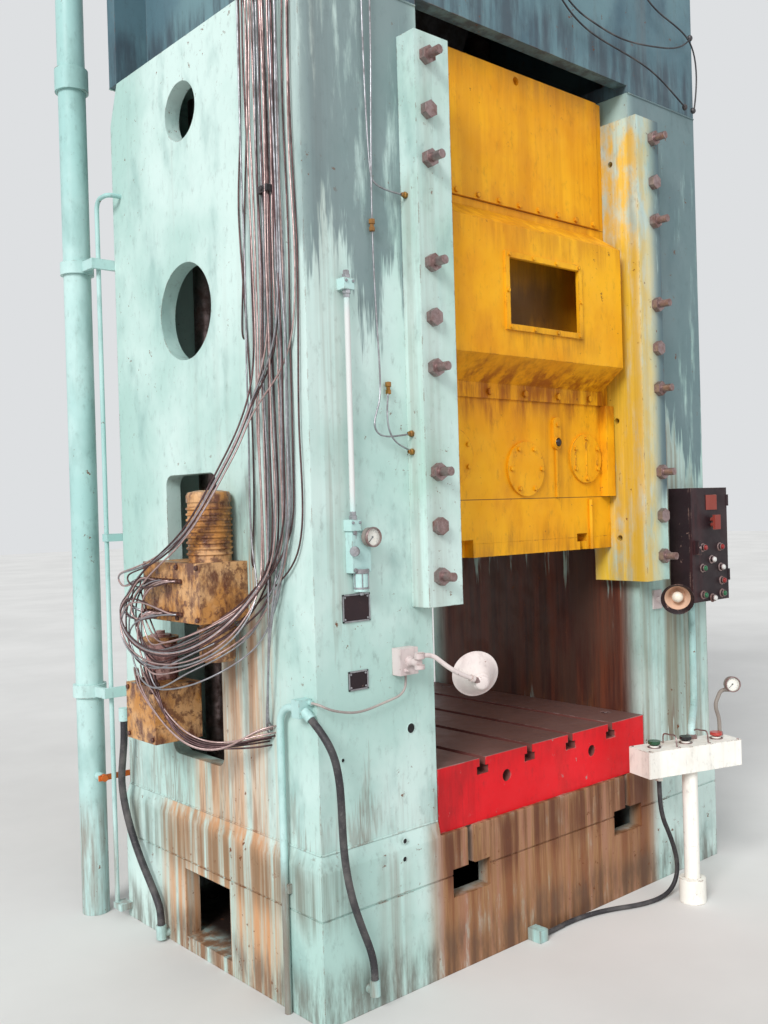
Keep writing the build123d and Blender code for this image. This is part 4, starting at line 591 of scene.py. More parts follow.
pump_face = -1292
outlet_rows = (1378, 1268)
outlet_places = [96 - column * 22 for column in range(12)]
low_outlet_places = [80 + column * 24 for column in range(7)]
form = bmesh.new()
for row_z in outlet_rows:
    for outlet_y in outlet_places:
        outlet = (pump_face, outlet_y, row_z)
        turn_profile(form, outlet, (-1, 0, 0.12), nut_profile(8.5, 11), 6)
        turn_profile(form, outlet, (-1, 0, 0.12), ((0, 10), (5, 10), (5, 22), (4.4, 24), (0, 24)), 12)
for corner_y in (-248, -120, 96):
    for corner_z in (1256, 1426):
        turn_profile(form, (pump_face, corner_y, corner_z), (-1, 0, 0), nut_profile(9, 8), 6)
for outlet_y in low_outlet_places:
    outlet = (pump_face + 26, outlet_y, 1002)
    turn_profile(form, outlet, (-0.3, 0, 1), nut_profile(8.5, 11), 6)
    turn_profile(form, outlet, (-0.3, 0, 1), ((0, 10), (5, 10), (5, 22), (0, 22)), 12)
for corner_y in (76, 248):
    for corner_z in (818, 986):
        turn_profile(form, (pump_face, corner_y, corner_z), (-1, 0, 0), nut_profile(9, 8), 6)
oily_steel = bare_metal("oily_steel", (128, 96, 88), (58, 30, 26), 0.95, 0.34)
add_piece("pump_unions", form, oily_steel, "frame")

form = bmesh.new()
ribs = [(72.5, 0)]
for index in range(9):
    ribs += [(72.5, 12 + index * 19), (78, 14 + index * 19), (78, 20 + index * 19), (72.5, 22 + index * 19)]
pump_motor_at = (-1181, -152)
motor_cap = ((76, 0), (76, 22), (70, 34), (40, 40), (0, 40))
turn_profile(form, (*pump_motor_at, 1450), (0, 0, 1), ribs, 40)
turn_profile(form, (*pump_motor_at, 1640), (0, 0, 1), motor_cap, 40)
add_piece("pump_motor_ribs", form, pump_finish, "frame")

form = bmesh.new()
drum = ((0, 0), (52, 0), (60, 8), (60, 96), (66, 98), (66, 112), (58, 114), (58, 136))
turn_profile(form, (-1186, -190, 1108), (0, 0, 1), drum, 40)
add_piece("filter_drum", form, pump_finish, "frame")

form = bmesh.new()
jar_at = (-1181, 204)
jar = ((58.6, 2), (60, 8), (60, 60), (59, 64), (60, 68), (60, 120), (58.6, 128))
turn_profile(form, (*jar_at, 1006), (0, 0, 1), jar, 40)
jar_lid = ((0, 0.5), (40, 0.5), (38, 9), (16, 12), (16, 22), (0, 24))
turn_profile(form, (*jar_at, 1158), (0, 0, 1), jar_lid, 32)
add_piece("oil_jar_sleeve", form, jar_finish, "frame")

# Lubrication lines: thin drawn copper and steel tubes, bent by hand. They start at the pump unions, go round
# below the pump, up the side plate in one loose bundle, and over to the distributor on the crown.
line_seed = random.Random(11)
bundle_count = 24
bundle_front, bundle_rear = -566, -366
bundle_top = 4169
bundle_heights = (4040, 3780, 3480, 3200, 2920, 2640, 2380, 2120, 1900, 1680, 1480)


def bundle_path(index, lowest=1400):
    """The upper stretch of one tube, from the distributor straight down to where it leaves the bundle."""
    top_y = -600 + index * 12.2
    layer = line_seed.choice((0, 7, 14, 21))
    out_x = side_face - 5 - layer
    share = index / (bundle_count - 1)
    home = bundle_front + share * (bundle_rear - bundle_front) + line_seed.uniform(-34, 34)
    points = [(-1010, top_y, bundle_top), (-1085, top_y, bundle_top), (out_x, top_y, bundle_top - 22)]
    for step, height in enumerate(bundle_heights):
        if height < lowest:
            break
        gather = min(1, step / 2)
        y = top_y + (home - top_y) * gather + line_seed.uniform(-11, 11)
        points.append((out_x - line_seed.uniform(0, 9), y, height + line_seed.uniform(-50, 50)))
    return points


def low_loop(end):
    """Down beside the pump, round below it and up into its union."""
    drop = line_seed.uniform(1040, 1215)
    sway = line_seed.uniform(-40, 40)
    reach = line_seed.uniform(-1352, -1304)
    turn_y = line_seed.uniform(60, 190)
    return [
        (-1128, -412 + sway, drop + 185),
        (-1165, -355 + sway, drop + 105),
        (-1235, -285 + sway, drop + 45),
        (reach + 24, -190 + sway, drop - 5),
        (reach, -60, drop - 50 + line_seed.uniform(-25, 25)),
        (reach - 3, turn_y - 70, drop - 30 + line_seed.uniform(-25, 25)),
        (reach - 5, turn_y, (drop + end[2]) / 2),
        (-1342, turn_y * 0.5 + end[1] * 0.5, end[2] - 6),
        (end[0] - 12, end[1], end[2] + 1),
        end,
    ]


def high_loop(end):
    """Down across the face of the pump, out past its far end and back into its union."""
    far_y = line_seed.uniform(110, 215)
    lift = line_seed.uniform(-60, 50)
    return [
        (-1150, -392 + lift * 0.3, 1960 + lift),
        (-1182, -356 + lift * 0.2, 1836 + lift),
        (-1222, -316, 1739 + lift),
        (-1262, -268, 1634 + lift),
        (-1318, -192, 1500 + lift * 0.6),
        (-1338, far_y - 150, 1416 + lift * 0.4),
        (-1350, far_y, end[2] + 20),
        (-1344, far_y - 40, end[2] - 34),
        (-1340, end[1] + 34, end[2] - 18),
        (end[0] - 12, end[1], end[2] + 1),
        end,
    ]


def return_loop(end):
    """Down in front of the pumps, back to the far end, then forward again over the pump's face."""
    sag = line_seed.uniform(-35, 35)
    return [
        (-1160, -400 + sag, 1330),
        (-1240, -340 + sag, 1200 + sag),
        (-1325, -200, 1120 + sag),
        (-1352, 0, 1110 + sag),
        (-1358, 150, 1170 + sag),
        (-1354, 190, 1262 + sag),
        (-1346, 100, 1322 + sag * 0.4),
        (-1342, end[1] + 60, end[2] + 22),
        (end[0] - 12, end[1], end[2] + 1),
        end,
    ]


union_ends = [(-1315, outlet_y, row_z + 3) for row_z in outlet_rows for outlet_y in outlet_places]
order_of_ends = line_seed.sample(range(bundle_count), bundle_count)
routes = []
for index in range(bundle_count):
    end = union_ends[order_of_ends[index]]
    if index % 4 == 1:
        routes.append(bundle_path(index, 2100) + high_loop(end))
    elif index % 4 == 3:
        routes.append(bundle_path(index) + return_loop(end))
    else:
        routes.append(bundle_path(index) + low_loop(end))

hole_x, hole_y, hole_z = side_face + 2, -385, 872
for index, outlet_y in enumerate(low_outlet_places):
    start = (-1273, outlet_y, 1024)
    hole = (hole_x, hole_y + line_seed.uniform(-26, 26), hole_z + (index - 3) * 11)
    sag = line_seed.uniform(-40, 30)
    routes.append(
        [
            start,
            (-1280, start[1] - 4, 1062),
            (-1305, start[1] - 40, 1075 + sag * 0.5),
            (-1325, start[1] - 110, 1010 + sag),
            (-1322, -80, 900 + sag),
            (-1290, -190, 838 + sag * 0.7),
            (-1225, -290, 836 + sag * 0.4),
            (-1160, hole[1] + 32, hole[2] - 6),
            (-1125, hole[1], hole[2]),
            hole,
        ]
    )
for index in range(3):
    hole = (hole_x, hole_y + 8 * index, hole_z + 30 - 14 * index)
    ending = [(-1150, -440, 1240), (-1145, -420, 1010), (-1128, hole[1], hole[2]), hole]
    routes.append(bundle_path(5 + 7 * index)[3:] + ending)
low_stray = ((-314, 2829), (-268, 2643), (-304, 2304), (-330, 1900), (-322, 1560))
high_stray = ((-380, 3180), (-330, 2760), (-300, 2400))
for stray, hole in ((low_stray, (hole_x, -300, 1420)), (high_stray, (hole_x, -282, 2180))):
    path = [(-1112, y, z) for y, z in stray]
    ending = [(-1114, hole[1], hole[2] + 40), (-1112, hole[1], hole[2]), hole]
    routes.append(bundle_path(bundle_count - 1)[3:6] + path + ending)

gib_side = -694
routes.append(
    [
        (-850, -636, 3835), (-855, -637, 3500), (-853, -636, 3181), (-851, -638, 2924),
        (-842, -640, 2700), (-835, -642, 2658), (-770, -644, 2642), (-700, -650, 2640),
        (gib_side, -652, 2640),
    ]
)
routes.append(
    [
        (-828, -636, 3835), (-822, -637, 3500), (-815, -637, 3200), (-828, -640, 2924),
        (-838, -642, 2668), (-838, -640, 2441), (-830, -640, 2215), (-820, -642, 2004),
        (-836, -650, 1940), (-874, -656, 1875), (-846, -654, 1832), (-760, -650, 1838),
        (-700, -650, 1848),
        (gib_side, -650, 1848),
    ]
)
routes.append(
    [
        (-787, -640, 1990), (-800, -648, 1950), (-812, -654, 1880), (-785, -652, 1822),
        (-730, -650, 1800), (-700, -650, 1790),
        (gib_side, -650, 1788),
    ]
)
dull_copper = bare_metal("browned_copper_tube", (112, 88, 88), (56, 38, 40), 0.9, 0.42)
# The pale pink copper is partly scuffed metal and partly a painted sheen of light along the bundle.
pale_copper_and_painted_sheen = bare_metal("scuffed_copper_tube_and_painted_sheen", (208, 182, 178), (132, 98, 92), 0.7, 0.4)
grey_tube = bare_metal("grey_steel_tube", (176, 176, 180), (96, 88, 88), 0.7, 0.42)
line_sets = (
    ("browned_lines", dull_copper, routes[0:24:3] + routes[24:28] + routes[34:36]),
    ("scuffed_lines", pale_copper_and_painted_sheen, routes[1:24:3] + routes[28:31]),
    ("grey_lines", grey_tube, routes[2:24:3] + routes[31:34] + routes[36:]),
)
first_lines = None
for name, metal, members in line_sets:
    lines = bent_line(name, members, 3.1, metal, order=4, steps=7, sides=1)
    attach(lines, "frame")
    first_lines = first_lines or lines
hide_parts("lube_lines")

# Line clips: folded steel strips that hold the bundle to the side plate, each under one bolt,
# and the turned bronze unions where the front lines join or enter the gib.
form = bmesh.new()


def add_slab(form, low, high):
    """Adds a block between two corners in millimetres."""
    corner, far_corner = Vector(low) * MM, Vector(high) * MM
    place = Matrix.Translation((corner + far_corner) / 2) @ Matrix.Diagonal((*(far_corner - corner), 1))
    bmesh.ops.create_cube(form, size=1, matrix=place)


for clip_y, clip_z in ((-458, 2630), (-520, 3420)):
    add_slab(form, (-1140, clip_y - 24, clip_z - 11), (-1137, clip_y + 24, clip_z + 11))
    for edge in (clip_y - 27, clip_y + 24):
        add_slab(form, (-1140, edge, clip_z - 11), (side_face, edge + 3, clip_z + 11))
    turn_profile(form, (-1140, clip_y, clip_z), (-1, 0, 0), nut_profile(7, 6), 6)
add_piece("bundle_clips", form, dark_iron, "frame", smooth=False)

form = bmesh.new()
coupling = ((4, 0), (10, 2), (10, 14), (7, 16), (7, 24), (11, 26), (11, 40), (4, 42))
union = ((0, 0), (11, 0), (11, 10), (7, 12), (7, 20), (4, 22))
for at in ((-838, -640, 2500), (-787, -640, 1975)):
    turn_profile(form, at, (0, 0, 1), coupling, 6)
for height, depth in ((2640, -652), (1848, -650), (1788, -650)):
    turn_profile(form, (gib_side, depth, height), (-1, 0, 0), union, 6)
add_piece("line_unions", form, bronze, "frame", smooth=False)

# Loose wires: three thin insulated wires that sag across the crown's front to its right corner.
# They come down from the motor, held by five small iron saddles, and hang clear of the paint between them.
wire_depth = -664
loose_wires = (
    ((-60, 3740), (100, 3560), (230, 3470), (421, 3446), (633, 3434), (791, 3403), (901, 3353), (984, 3318)),
    ((-80, 3780), (141, 3535), (327, 3507), (524, 3483), (767, 3524), (973, 3567), (1040, 3640)),
    ((560, 3860), (673, 3699), (878, 3666), (1032, 3640), (1084, 3540), (1078, 3420), (1050, 3318)),
)
wire_routes = [[(x, wire_depth, z) for x, z in wire] for wire in loose_wires]
wires = bent_line("loose_wires", wire_routes, 3.5, black_hose, order=4, steps=8, sides=2)
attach(wires, "frame")
form = bmesh.new()
for x, z in ((-70, 3762), (984, 3322), (1050, 3322), (1040, 3640), (560, 3858)):
    turn_profile(form, (x, -655, z), (0, -1, 0), ((0, 0), (13, 0), (13, 8), (9, 13), (0, 14)), 24)
add_piece("wire_saddles", form, dark_iron, "frame")

# Oil sight on the slide: a domed glass over the drip pipe, dark with old oil.
# A turned ring screwed to the slide's front holds it, painted over with the slide.
form = bmesh.new()
sight_at = (187, -549, 1843)
turn_profile(form, sight_at, (0, -1, 0), ((0, 0.2), (17, 0.2), (17, 3), (14, 8), (8, 11), (0, 12)), 32)
sight_glass = moulded("oil_dark_glass", (40, 22, 16), (92, 58, 30), 0.14)
add_piece("oil_sight_glass", form, sight_glass, "slide")
form = bmesh.new()
turn_profile(form, sight_at, (0, -1, 0), ((17.2, 0.2), (22, 0.2), (22, 3), (19, 5.5), (17.2, 4)), 32)
turn_profile(form, (187, -549, 1912), (0, -1, 0), nut_profile(9, 7), 6)
add_piece("oil_sight_ring", form, slide_paint, "slide")

# Weld beads: hand-laid fillets round the column feet and between the columns and the crown.
# Each is a row of overlapping ripples along the joint, painted over with the frame.


def weld_bead(form, start, end, radius, pitch=7):
    """A scalloped bead from one point to another, in millimetres."""
    begin, finish = Vector(start) * MM, Vector(end) * MM
    way = finish - begin
    count = int(way.length / (pitch * MM))
    along = way.normalized()
    side = along.orthogonal().normalized()
    other = along.cross(side)
    last = None
    for step in range(count + 1):
        swell = radius * (0.82 + 0.26 * (step % 2) + line_seed.uniform(-0.07, 0.07)) * MM
        centre = begin + way * (step / count)
        corners = (index * pi / 3 for index in range(6))
        ring = [form.verts.new(centre + (side * cos(a) + other * sin(a)) * swell) for a in corners]
        for index in range(6):
            if last:
                form.faces.new((last[index], last[(index + 1) % 6], ring[(index + 1) % 6], ring[index]))
        last = ring


form = bmesh.new()
foot_z, seat_z = 531, 3305
for side in (-1, 1):
    outer, inner = -side * side_face, side * 606
    for depth in (front, -front):
        weld_bead(form, (outer, depth, foot_z), (inner, depth, foot_z), 4)
        weld_bead(form, (outer, depth, seat_z), (inner, depth, seat_z), 4.5)
    weld_bead(form, (outer, front, foot_z), (outer, -front, foot_z), 4)
add_piece("weld_beads", form, column_paint, "frame")

# Blank plates: two small plates of dark sheet on the left column's front, each in a raised steel rim.
# Four round-headed rivets hold each of them.
form = bmesh.new()
plates = bmesh.new()
rim = 5
rivet = ((0, 0), (4, 0), (3.4, 2), (1.6, 3), (0, 3.2))
for left, right, low, high in ((-995, -882, 1243, 1333), (-979, -898, 1025, 1087)):
    add_slab(form, (left, front - 2.5, low), (right, front, high))
    edges = (
        (left, right, low, low + rim),
        (left, right, high - rim, high),
        (left, left + rim, low, high),
        (right - rim, right, low, high),
    )
    for x_low, x_high, z_low, z_high in edges:
        add_slab(plates, (x_low, front - 4, z_low), (x_high, front - 2, z_high))
    for x in (left + 10, right - 10):
        for z in (low + 10, high - 10):
            turn_profile(plates, (x, front - 2, z), (0, -1, 0), rivet, 12)
add_piece("blank_plates", form, box_enamel_dark_and_shaded, "frame", smooth=False)
add_piece("plate_rims", plates, grey_tube, "frame")

# Open holes: drilled in the left column's front and in the bed's below it, where pieces were once bolted.
# Each has a slightly raised rim round a flat near-black disc, painted shade standing in for the depth of the
# bore.
bed_front = front - 14.2
form = bmesh.new()
rims = bmesh.new()
for x, z, radius in ((-716, 866, 17), (-770, 504, 9), (-773, 445, 9), (-1010, 812, 7)):
    face = front if z > foot_z else bed_front
    turn_profile(form, (x, face, z), (0, -1, 0), ((0, 0.4), (radius, 0.4)), 24)
    raised_rim = ((radius - 1, 0.2), (radius - 1, 1.6), (radius + 1.5, 1.2), (radius + 3, 0.1))
    turn_profile(rims, (x, face, z), (0, -1, 0), raised_rim, 24)
bore_painted_shade = moulded("painted_bore_shade", (14, 12, 14), (34, 26, 24), 0.8)
add_piece("column_bores", form, bore_painted_shade, "frame")
add_piece("bore_rims", rims, column_paint, "frame")

# Work lamps: spun steel shades with rolled rims, a socket at the back and a frosted bulb.
# The left one hangs on a bowed arm and is seen from behind; the right one looks out at the operator.
left_light = Vector((0.48, 0.848, 0.224)).normalized()
left_shade_at = Vector((-496, -729, 1019))
right_light = Vector((-0.8, -0.52, -0.3)).normalized()
right_shade_at = Vector((690, -748, 1200))


def spun_shade(name, at, way, radius, material, body):
    """A dish with wall thickness, its rim rolled over a wire and its socket ribbed."""
    size = radius / 80
    outside = (
        *((0, -59), (16, -59), (22, -57), (25, -52), (25, -47), (28, -45), (31, -41), (31, -33)),
        *((34, -30), (37, -24), (44, -14), (54, 0), (64, 13), (72, 23), (77, 28)),
        *((80, 29), (82, 31), (81, 33), (78.5, 32.5)),
    )
    inside = ((77, 30.5), (70, 24), (61, 12.5), (52, 0.5), (42, -13), (34, -24), (31, -28), (0, -28))
    form = bmesh.new()
    scaled = [(r * size, d if d < -29 else d) for r, d in outside + inside]
    turn_profile(form, at, way, scaled, 64)
    return add_piece(name, form, material, body, sharp=0.9)


lamp_shade_piece = spun_shade("left_spun_shade", left_shade_at, left_light, 80, enamel, "lamp_shade")
swivel = bmesh.new()
pivot_at = left_shade_at - left_light * 45
bow = Vector((-640, -758, 1060))
arm_way = (pivot_at - bow).normalized()
swivel_profile = ((0, -14), (12, -12), (14, -4), (12, 8), (10, 12), (10, 38), (0, 38))
turn_profile(swivel, pivot_at, -arm_way, swivel_profile, 32)
add_piece("left_shade_swivel", swivel, handled_steel, "lamp_shade")
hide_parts("lamp_shade")

right_stem = bmesh.new()
stem_root = Vector((720, -690, 1192.3))
stem_base = Vector((720, -690, 1202))
turn_profile(right_stem, stem_root, (0, 0, 1), ((0, 0), (15, 0), (15, 14), (11, 18), (0, 18)), 32)
stem_way = right_shade_at - right_light * 51 - stem_base
stem_rod = ((0, 0), (8, 0), (8, stem_way.length), (0, stem_way.length))
turn_profile(right_stem, stem_base, stem_way, stem_rod, 20)
right_shade_piece = spun_shade("right_spun_shade", right_shade_at, right_light, 66, box_enamel_dark_and_shaded, "right_lamp")
add_piece("right_lamp_stem", right_stem, handled_steel, "right_lamp")
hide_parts("right_lamp")

# The right lamp's lining is a painted reflection: a peach tone standing in for warm light off its bright
# reflector.
lining_painted_reflection = aged_paint(
    "lamp_lining_painted_reflection",
    ((214, 176, 150), (238, 214, 190), (170, 112, 86)),
    runs=0.3,
    chips=0.3,
    wear=0.4,
    rough=0.22,
    rounding=0.0,
)
lining = bmesh.new()
lining_profile = ((61, 27), (50, 12.5), (42, 0.5), (34, -12), (27, -23), (0, -26))
turn_profile(lining, right_shade_at, right_light, lining_profile, 64)
add_piece("right_lamp_lining", lining, lining_painted_reflection, "right_lamp")
bulb_finish = moulded("frosted_bulb", (236, 226, 208), (214, 198, 176), 0.3)
bulb_shape = ((13, -28), (13, -18), (17, -10), (22, 0), (23, 8), (20, 17), (13, 23), (6, 26), (0, 26.5))
for name, at, way, body in (
    ("left_bulb", left_shade_at, left_light, "lamp_shade"),
    ("right_bulb", right_shade_at, right_light, "right_lamp"),
):
    bulb = bmesh.new()
    turn_profile(bulb, at, way, bulb_shape, 32)
    add_piece(name, bulb, bulb_finish, body)

# Lamp switch box: a small enamelled box on the left column's front, with a turned knob and a toggle.
# Its cover is a pressed plate under four screws.
switch_face = -665
knob = bmesh.new()
knob_profile = ((0, 0), (19, 0), (19, 5), (15, 8), (14, 22))
toggle_profile = ((0, 0), (7, 0), (7, 6), (4.5, 8), (4, 17), (0, 18))
turn_profile(knob, (-752, switch_face, 1097), (0, -1, 0), knob_profile, 32)
turn_profile(knob, (-771, switch_face, 1070), (0, -1, 0), toggle_profile, 24)
for x in (-783, -721):
    for z in (1061, 1134):
        turn_profile(knob, (x, switch_face, z), (0, -1, 0), ((0, 0), (4, 0), (3.4, 2.4), (0, 3)), 16)
add_piece("switch_details", knob, enamel, "frame")
cover = bmesh.new()
add_slab(cover, (-790, switch_face - 3, 1054), (-714, switch_face, 1141))
add_piece("switch_cover", cover, enamel, "frame", smooth=False)

# Gauges: white printed dials with plain ticks behind flat glass, in steel cases with a screwed ring.
# One is screwed into the filter, the other sits on a bent pipe over the console.
dial_paint = moulded("white_dial", (238, 234, 224), (214, 202, 180), 0.5)
glass_made, glass_tree, glass_shader, glass_place = surface("gauge_glass")
glass_haze = ramp(glass_tree, cloud(glass_tree, glass_place, 60), 0.4, 0.8, 0.02, 0.16)
glass_tree.links.new(glass_haze, glass_shader.inputs["Roughness"])
glass_film = ramp(glass_tree, cloud(glass_tree, glass_place, 40), 0.35, 0.75, 0.05, 0.16)
glass_tree.links.new(glass_film, glass_shader.inputs["Alpha"])
glass_shader.inputs["Base Color"].default_value = shade_of((235, 240, 238))
filter_gauge_at = Vector((-914, -669, 1513))
console_turn = radians(-17.5)
console_at = (562, -850)
console_lid = 630


def on_console(along, over):
    """A place on the console, measured along and across its top."""
    turned_x = along * cos(console_turn) - over * sin(console_turn)
    turned_y = along * sin(console_turn) + over * cos(console_turn)
    return (console_at[0] + turned_x, console_at[1] + turned_y)


gauge_root = on_console(205, 35)
console_gauge_at = Vector((gauge_root[0] + 62, gauge_root[1] - 20, 835))
for name, at, way in (
    ("filter_gauge", filter_gauge_at, Vector((0, -1, 0))),
    ("console_gauge", console_gauge_at, Vector((-0.62, -0.78, 0.05)).normalized()),
):
    right_way = Vector((0, 0, 1)).cross(way).normalized()
    up_way = way.cross(right_way)
    dial = bmesh.new()
    turn_profile(dial, at, way, ((0, 18.12), (26.9, 18.12)), 40)
    add_piece(name + "_dial", dial, dial_paint, "frame")
    ticks = bmesh.new()
    for index in range(28):
        angle = radians(225 - index * 10)
        reach = 18 if index % 3 == 0 else 21
        spoke = right_way * cos(angle) + up_way * sin(angle)
        across_way = way.cross(spoke)
        middle = (at + way * 18.22 + spoke * (reach + 25) / 2) * MM
        turned = Matrix((spoke, across_way, way)).transposed().to_4x4()
        tick_size = Matrix.Diagonal(((25 - reach) * MM, 0.9 * MM, 0.12 * MM, 1))
        bmesh.ops.create_cube(ticks, size=1, matrix=Matrix.Translation(middle) @ turned @ tick_size)
    add_piece(name + "_ticks", ticks, pointer_paint, "frame", smooth=False)
    ring = bmesh.new()
    case_ring = ((27.4, 24), (27.4, 27.4), (29, 28.4), (31.2, 27.6), (32.4, 25), (32.4, 19), (31, 17.6))
    turn_profile(ring, at, way, case_ring, 48)
    add_piece(name + "_ring", ring, handled_steel, "frame")
    pane = bmesh.new()
    turn_profile(pane, at, way, ((0, 24.4), (27.4, 24.4), (27.4, 25.4), (0, 25.4)), 40)
    add_piece(name + "_glass", pane, glass_made, "frame")

# Filter: the foot and ribbed cage of its bowl, the unions at the long sight tube's ends and its screws.
# All are turned or drawn steel; the bolted brackets hold the unit to the left column's front.
sight_tube_at = (-960, -649)
bowl_at = (-936, -651)
tube_nut = ((9, 0), (14, 0), (14, 12), (11, 14), (11, 24), (9.2, 26))
form = bmesh.new()
for height in (1552, 2314):
    for way, start in ((1, height + 18), (-1, height - 18)):
        turn_profile(form, (*sight_tube_at, start), (0, 0, way), tube_nut, 6)
    for x in (-974, -946):
        turn_profile(form, (x, -665, height + 8), (0, -1, 0), nut_profile(5, 4), 6)
bowl_foot = ((0, 0), (7, 0), (7, 8), (20, 14), (24.4, 20), (24.4, 26))
bowl_ring = ((24.4, 0), (27, 1), (27, 14), (24.4, 15))
turn_profile(form, (*bowl_at, 1329), (0, 0, 1), bowl_foot, 32)
turn_profile(form, (*bowl_at, 1398), (0, 0, 1), bowl_ring, 32)
for index in range(6):
    angle = pi * index / 3
    rib = (bowl_at[0] + 25.4 * cos(angle), bowl_at[1] + 25.4 * sin(angle))
    turn_profile(form, (*rib, 1349), (0, 0, 1), ((0, 0), (1.8, 0), (1.8, 54), (0, 54)), 8)
side_knob = ((0, 0), (9, 0), (9, 14), (16, 16), (16, 24), (0, 25))
turn_profile(form, (-955, -660, 1470), (-1, -0.5, 0), side_knob, 20)
for z in (1410, 1530):
    turn_profile(form, (-965, -659, z), (0, -1, 0), nut_profile(7, 6), 6)
add_piece("filter_trim", form, grey_tube, "frame")

# Indicator lamps: domed plastic lenses in an uneven cluster on the control door, each in a bezel.
# Above them sit a blank reddish plate and a pull of the same red, their paint gone dull.
door_face = -734.3
# The door's dark maroon enamel is deepened by painted shade, like the box's.
door_enamel_dark_and_shaded = aged_paint(
    "dark_door_enamel_and_painted_shade",
    ((34, 24, 28), (54, 32, 36), (20, 14, 17)),
    runs=0.15,
    chips=0.5,
    wear=0.9,
    stains_and_shade=((((0.8, 0.9), (-0.76, -0.7), (1.1, 1.63)), (78, 34, 36), 0.8, 0.6),),
    marks=(
        (((0.943, 1.03), (-0.739, -0.7355), (1.552, 1.619)), (146, 66, 54), 0.9),
        (((0.963, 1.01), (-0.768, -0.7355), (1.467, 1.532)), (142, 58, 48), 0.9),
    ),
    bare=(140, 110, 100),
    rounding=0.0015,
)
dress(door_enamel_dark_and_shaded, "control_door")
red_at = ((910, 1392), (1045, 1390), (1055, 1242))
green_at = ((905, 1304), (905, 1189), (1055, 1186))
clear_at = ((978, 1338), (1050, 1301), (978, 1171))
door_lamps = (
    ("red_lens", (132, 26, 26), (160, 80, 70), red_at),
    ("green_lens", (28, 92, 58), (92, 134, 100), green_at),
    ("clear_lens", (206, 204, 200), (150, 140, 128), clear_at),
)
dome = ((0, 0), (11.5, 0), (11.5, 3), (10, 7), (6, 9.6), (0, 10.6))
base_ring = ((13.2, 0.2), (19, 0.2), (19, 3), (16, 5), (13.2, 5))
lens_ring = ((13.2, 10), (14.4, 14.4), (12, 15.4), (11.4, 14.2))
bezels = bmesh.new()
for name, colour, worn, places in door_lamps:
    lens = bmesh.new()
    for x, z in places:
        turn_profile(lens, (x, door_face - 14, z), (0, -1, 0), dome, 32)
        turn_profile(bezels, (x, door_face, z), (0, -1, 0), base_ring, 32)
        turn_profile(bezels, (x, door_face, z), (0, -1, 0), lens_ring, 32)
    add_piece(name, lens, moulded(name, colour, worn, 0.15), "control_door")
turn_profile(bezels, (854, door_face - 24, 1394), (0, -1, 0), ((0, 0), (7, 0), (6, 4), (0, 5)), 20)
add_piece("lens_bezels", bezels, handled_steel, "control_door")
hinges = bmesh.new()
for z in (1240, 1568):
    turn_profile(hinges, (1117, door_face, z), (0, 0, 1), ((0, 0), (6, 0), (6, 50), (0, 50)), 16)
add_piece("door_hinges", hinges, box_enamel_dark_and_shaded, "frame")

# Console trim: two bent wire guards between the buttons, turned collars round them and screws in the lid.
# The pedestal's foot has a turned skirt and four bolts in its floor plate.
guards = []
for along in (-78, 78):
    guards.append(
        [
            (*on_console(along, -42), 628),
            (*on_console(along - 2, -42), 660),
            (*on_console(along + 6, -30), 678),
            (*on_console(along + 2, 0), 668),
            (*on_console(along - 8, 28), 676),
            (*on_console(along, 42), 658),
            (*on_console(along, 42), 628),
        ]
    )
guard_wires = bent_line("wire_guards", guards, 3, handled_steel, order=4, steps=8, sides=2)
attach(guard_wires, "frame")
form = bmesh.new()
collar = ((18, 0.4), (27, 0.4), (27, 2.6), (18, 2.8))
lid_screw = ((0, 0.3), (5, 0.3), (4.2, 3), (0, 3.8))
for along in (-155, 0, 155):
    turn_profile(form, (*on_console(along, 0), console_lid), (0, 0, 1), collar, 40)
for along in (-218, -75, 75, 218):
    for over in (-54, 54):
        turn_profile(form, (*on_console(along, over), console_lid), (0, 0, 1), lid_screw, 16)
turn_profile(form, (*gauge_root, console_lid), (0, 0, 1), nut_profile(14, 16), 6)
conduit_gland = ((15.4, 0.3), (22, 0.3), (22, 14), (17, 18), (15.4, 18))
turn_profile(form, (*on_console(70, 47), console_lid), (0, 0, 1), conduit_gland, 6)
pedestal_at = (565, -863)
turn_profile(form, (*pedestal_at, 9), (0, 0, 1), ((30.4, 6), (33, 2), (36, 0.3)), 32)
for corner in range(4):
    angle = pi / 4 + corner * pi / 2
    bolt = (pedestal_at[0] + 44 * cos(angle), pedestal_at[1] + 44 * sin(angle), 12)
    turn_profile(form, bolt, (0, 0, 1), nut_profile(7, 6), 6)
add_piece("console_trim", form, handled_steel, "frame")

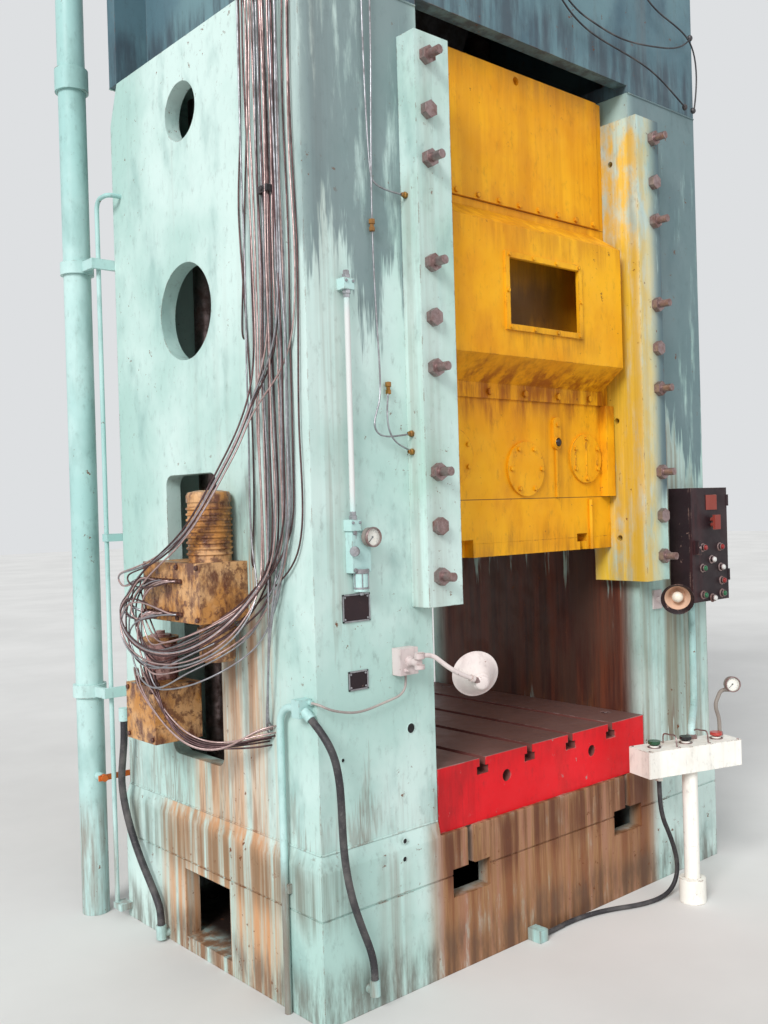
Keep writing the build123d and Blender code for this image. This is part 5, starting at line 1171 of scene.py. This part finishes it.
# Floor and light: a plain pale shop floor, a broad soft light on the press's left and a weaker one in front.
# They only serve the picture and aren't part of the press.
floor_form = bmesh.new()
floor_place = Matrix.Translation((0, 0, -0.0005))
bmesh.ops.create_grid(floor_form, x_segments=1, y_segments=1, size=40, matrix=floor_place)
floor = bpy.data.objects.new("floor", finished(floor_form, "floor", smooth=False))
floor_made, floor_tree, floor_shader, floor_point = surface("pale_floor")
floor_patch = ramp(floor_tree, cloud(floor_tree, floor_point, 0.6), 0.3, 0.7)
floor_tone = tint(floor_tree, floor_patch, (206, 205, 202), (216, 215, 212))
floor_tree.links.new(floor_tone, floor_shader.inputs["Base Color"])
floor_shader.inputs["Roughness"].default_value = 0.85
floor.data.materials.append(floor_made)
bpy.context.scene.collection.objects.link(floor)

world = bpy.data.worlds.new("studio")
world.use_nodes = True
bpy.context.scene.world = world
sky = world.node_tree
sky_light = sky.nodes["Background"]
sky_light.inputs["Color"].default_value = (0.93, 0.96, 1.0, 1.0)
sky_light.inputs["Strength"].default_value = 0.62
backdrop = put(sky, "ShaderNodeBackground", {"Color": shade_of((222, 224, 226)), "Strength": 1.0})
ray = put(sky, "ShaderNodeLightPath", {}).outputs
bounced = sums(sky, ray["Is Glossy Ray"], ray["Is Transmission Ray"], "MAXIMUM")
seen = sums(sky, ray["Is Camera Ray"], bounced, "MAXIMUM")
both = put(sky, "ShaderNodeMixShader", {0: seen, 1: sky_light.outputs[0], 2: backdrop.outputs[0]})
sky.links.new(both.outputs[0], sky.nodes["World Output"].inputs["Surface"])
for name, way, strength, spread in (
    ("left_light", (0.78, 0.34, -0.52), 2.6, 22),
    ("front_light", (0.1, 0.85, -0.5), 0.6, 60),
):
    lamp = bpy.data.lights.new(name, "SUN")
    lamp.energy = strength
    lamp.angle = radians(spread)
    lamp_object = bpy.data.objects.new(name, lamp)
    lamp_object.rotation_euler = Vector(way).to_track_quat("-Z", "Y").to_euler()
    bpy.context.scene.collection.objects.link(lamp_object)
bpy.context.scene.view_settings.view_transform = "Standard"
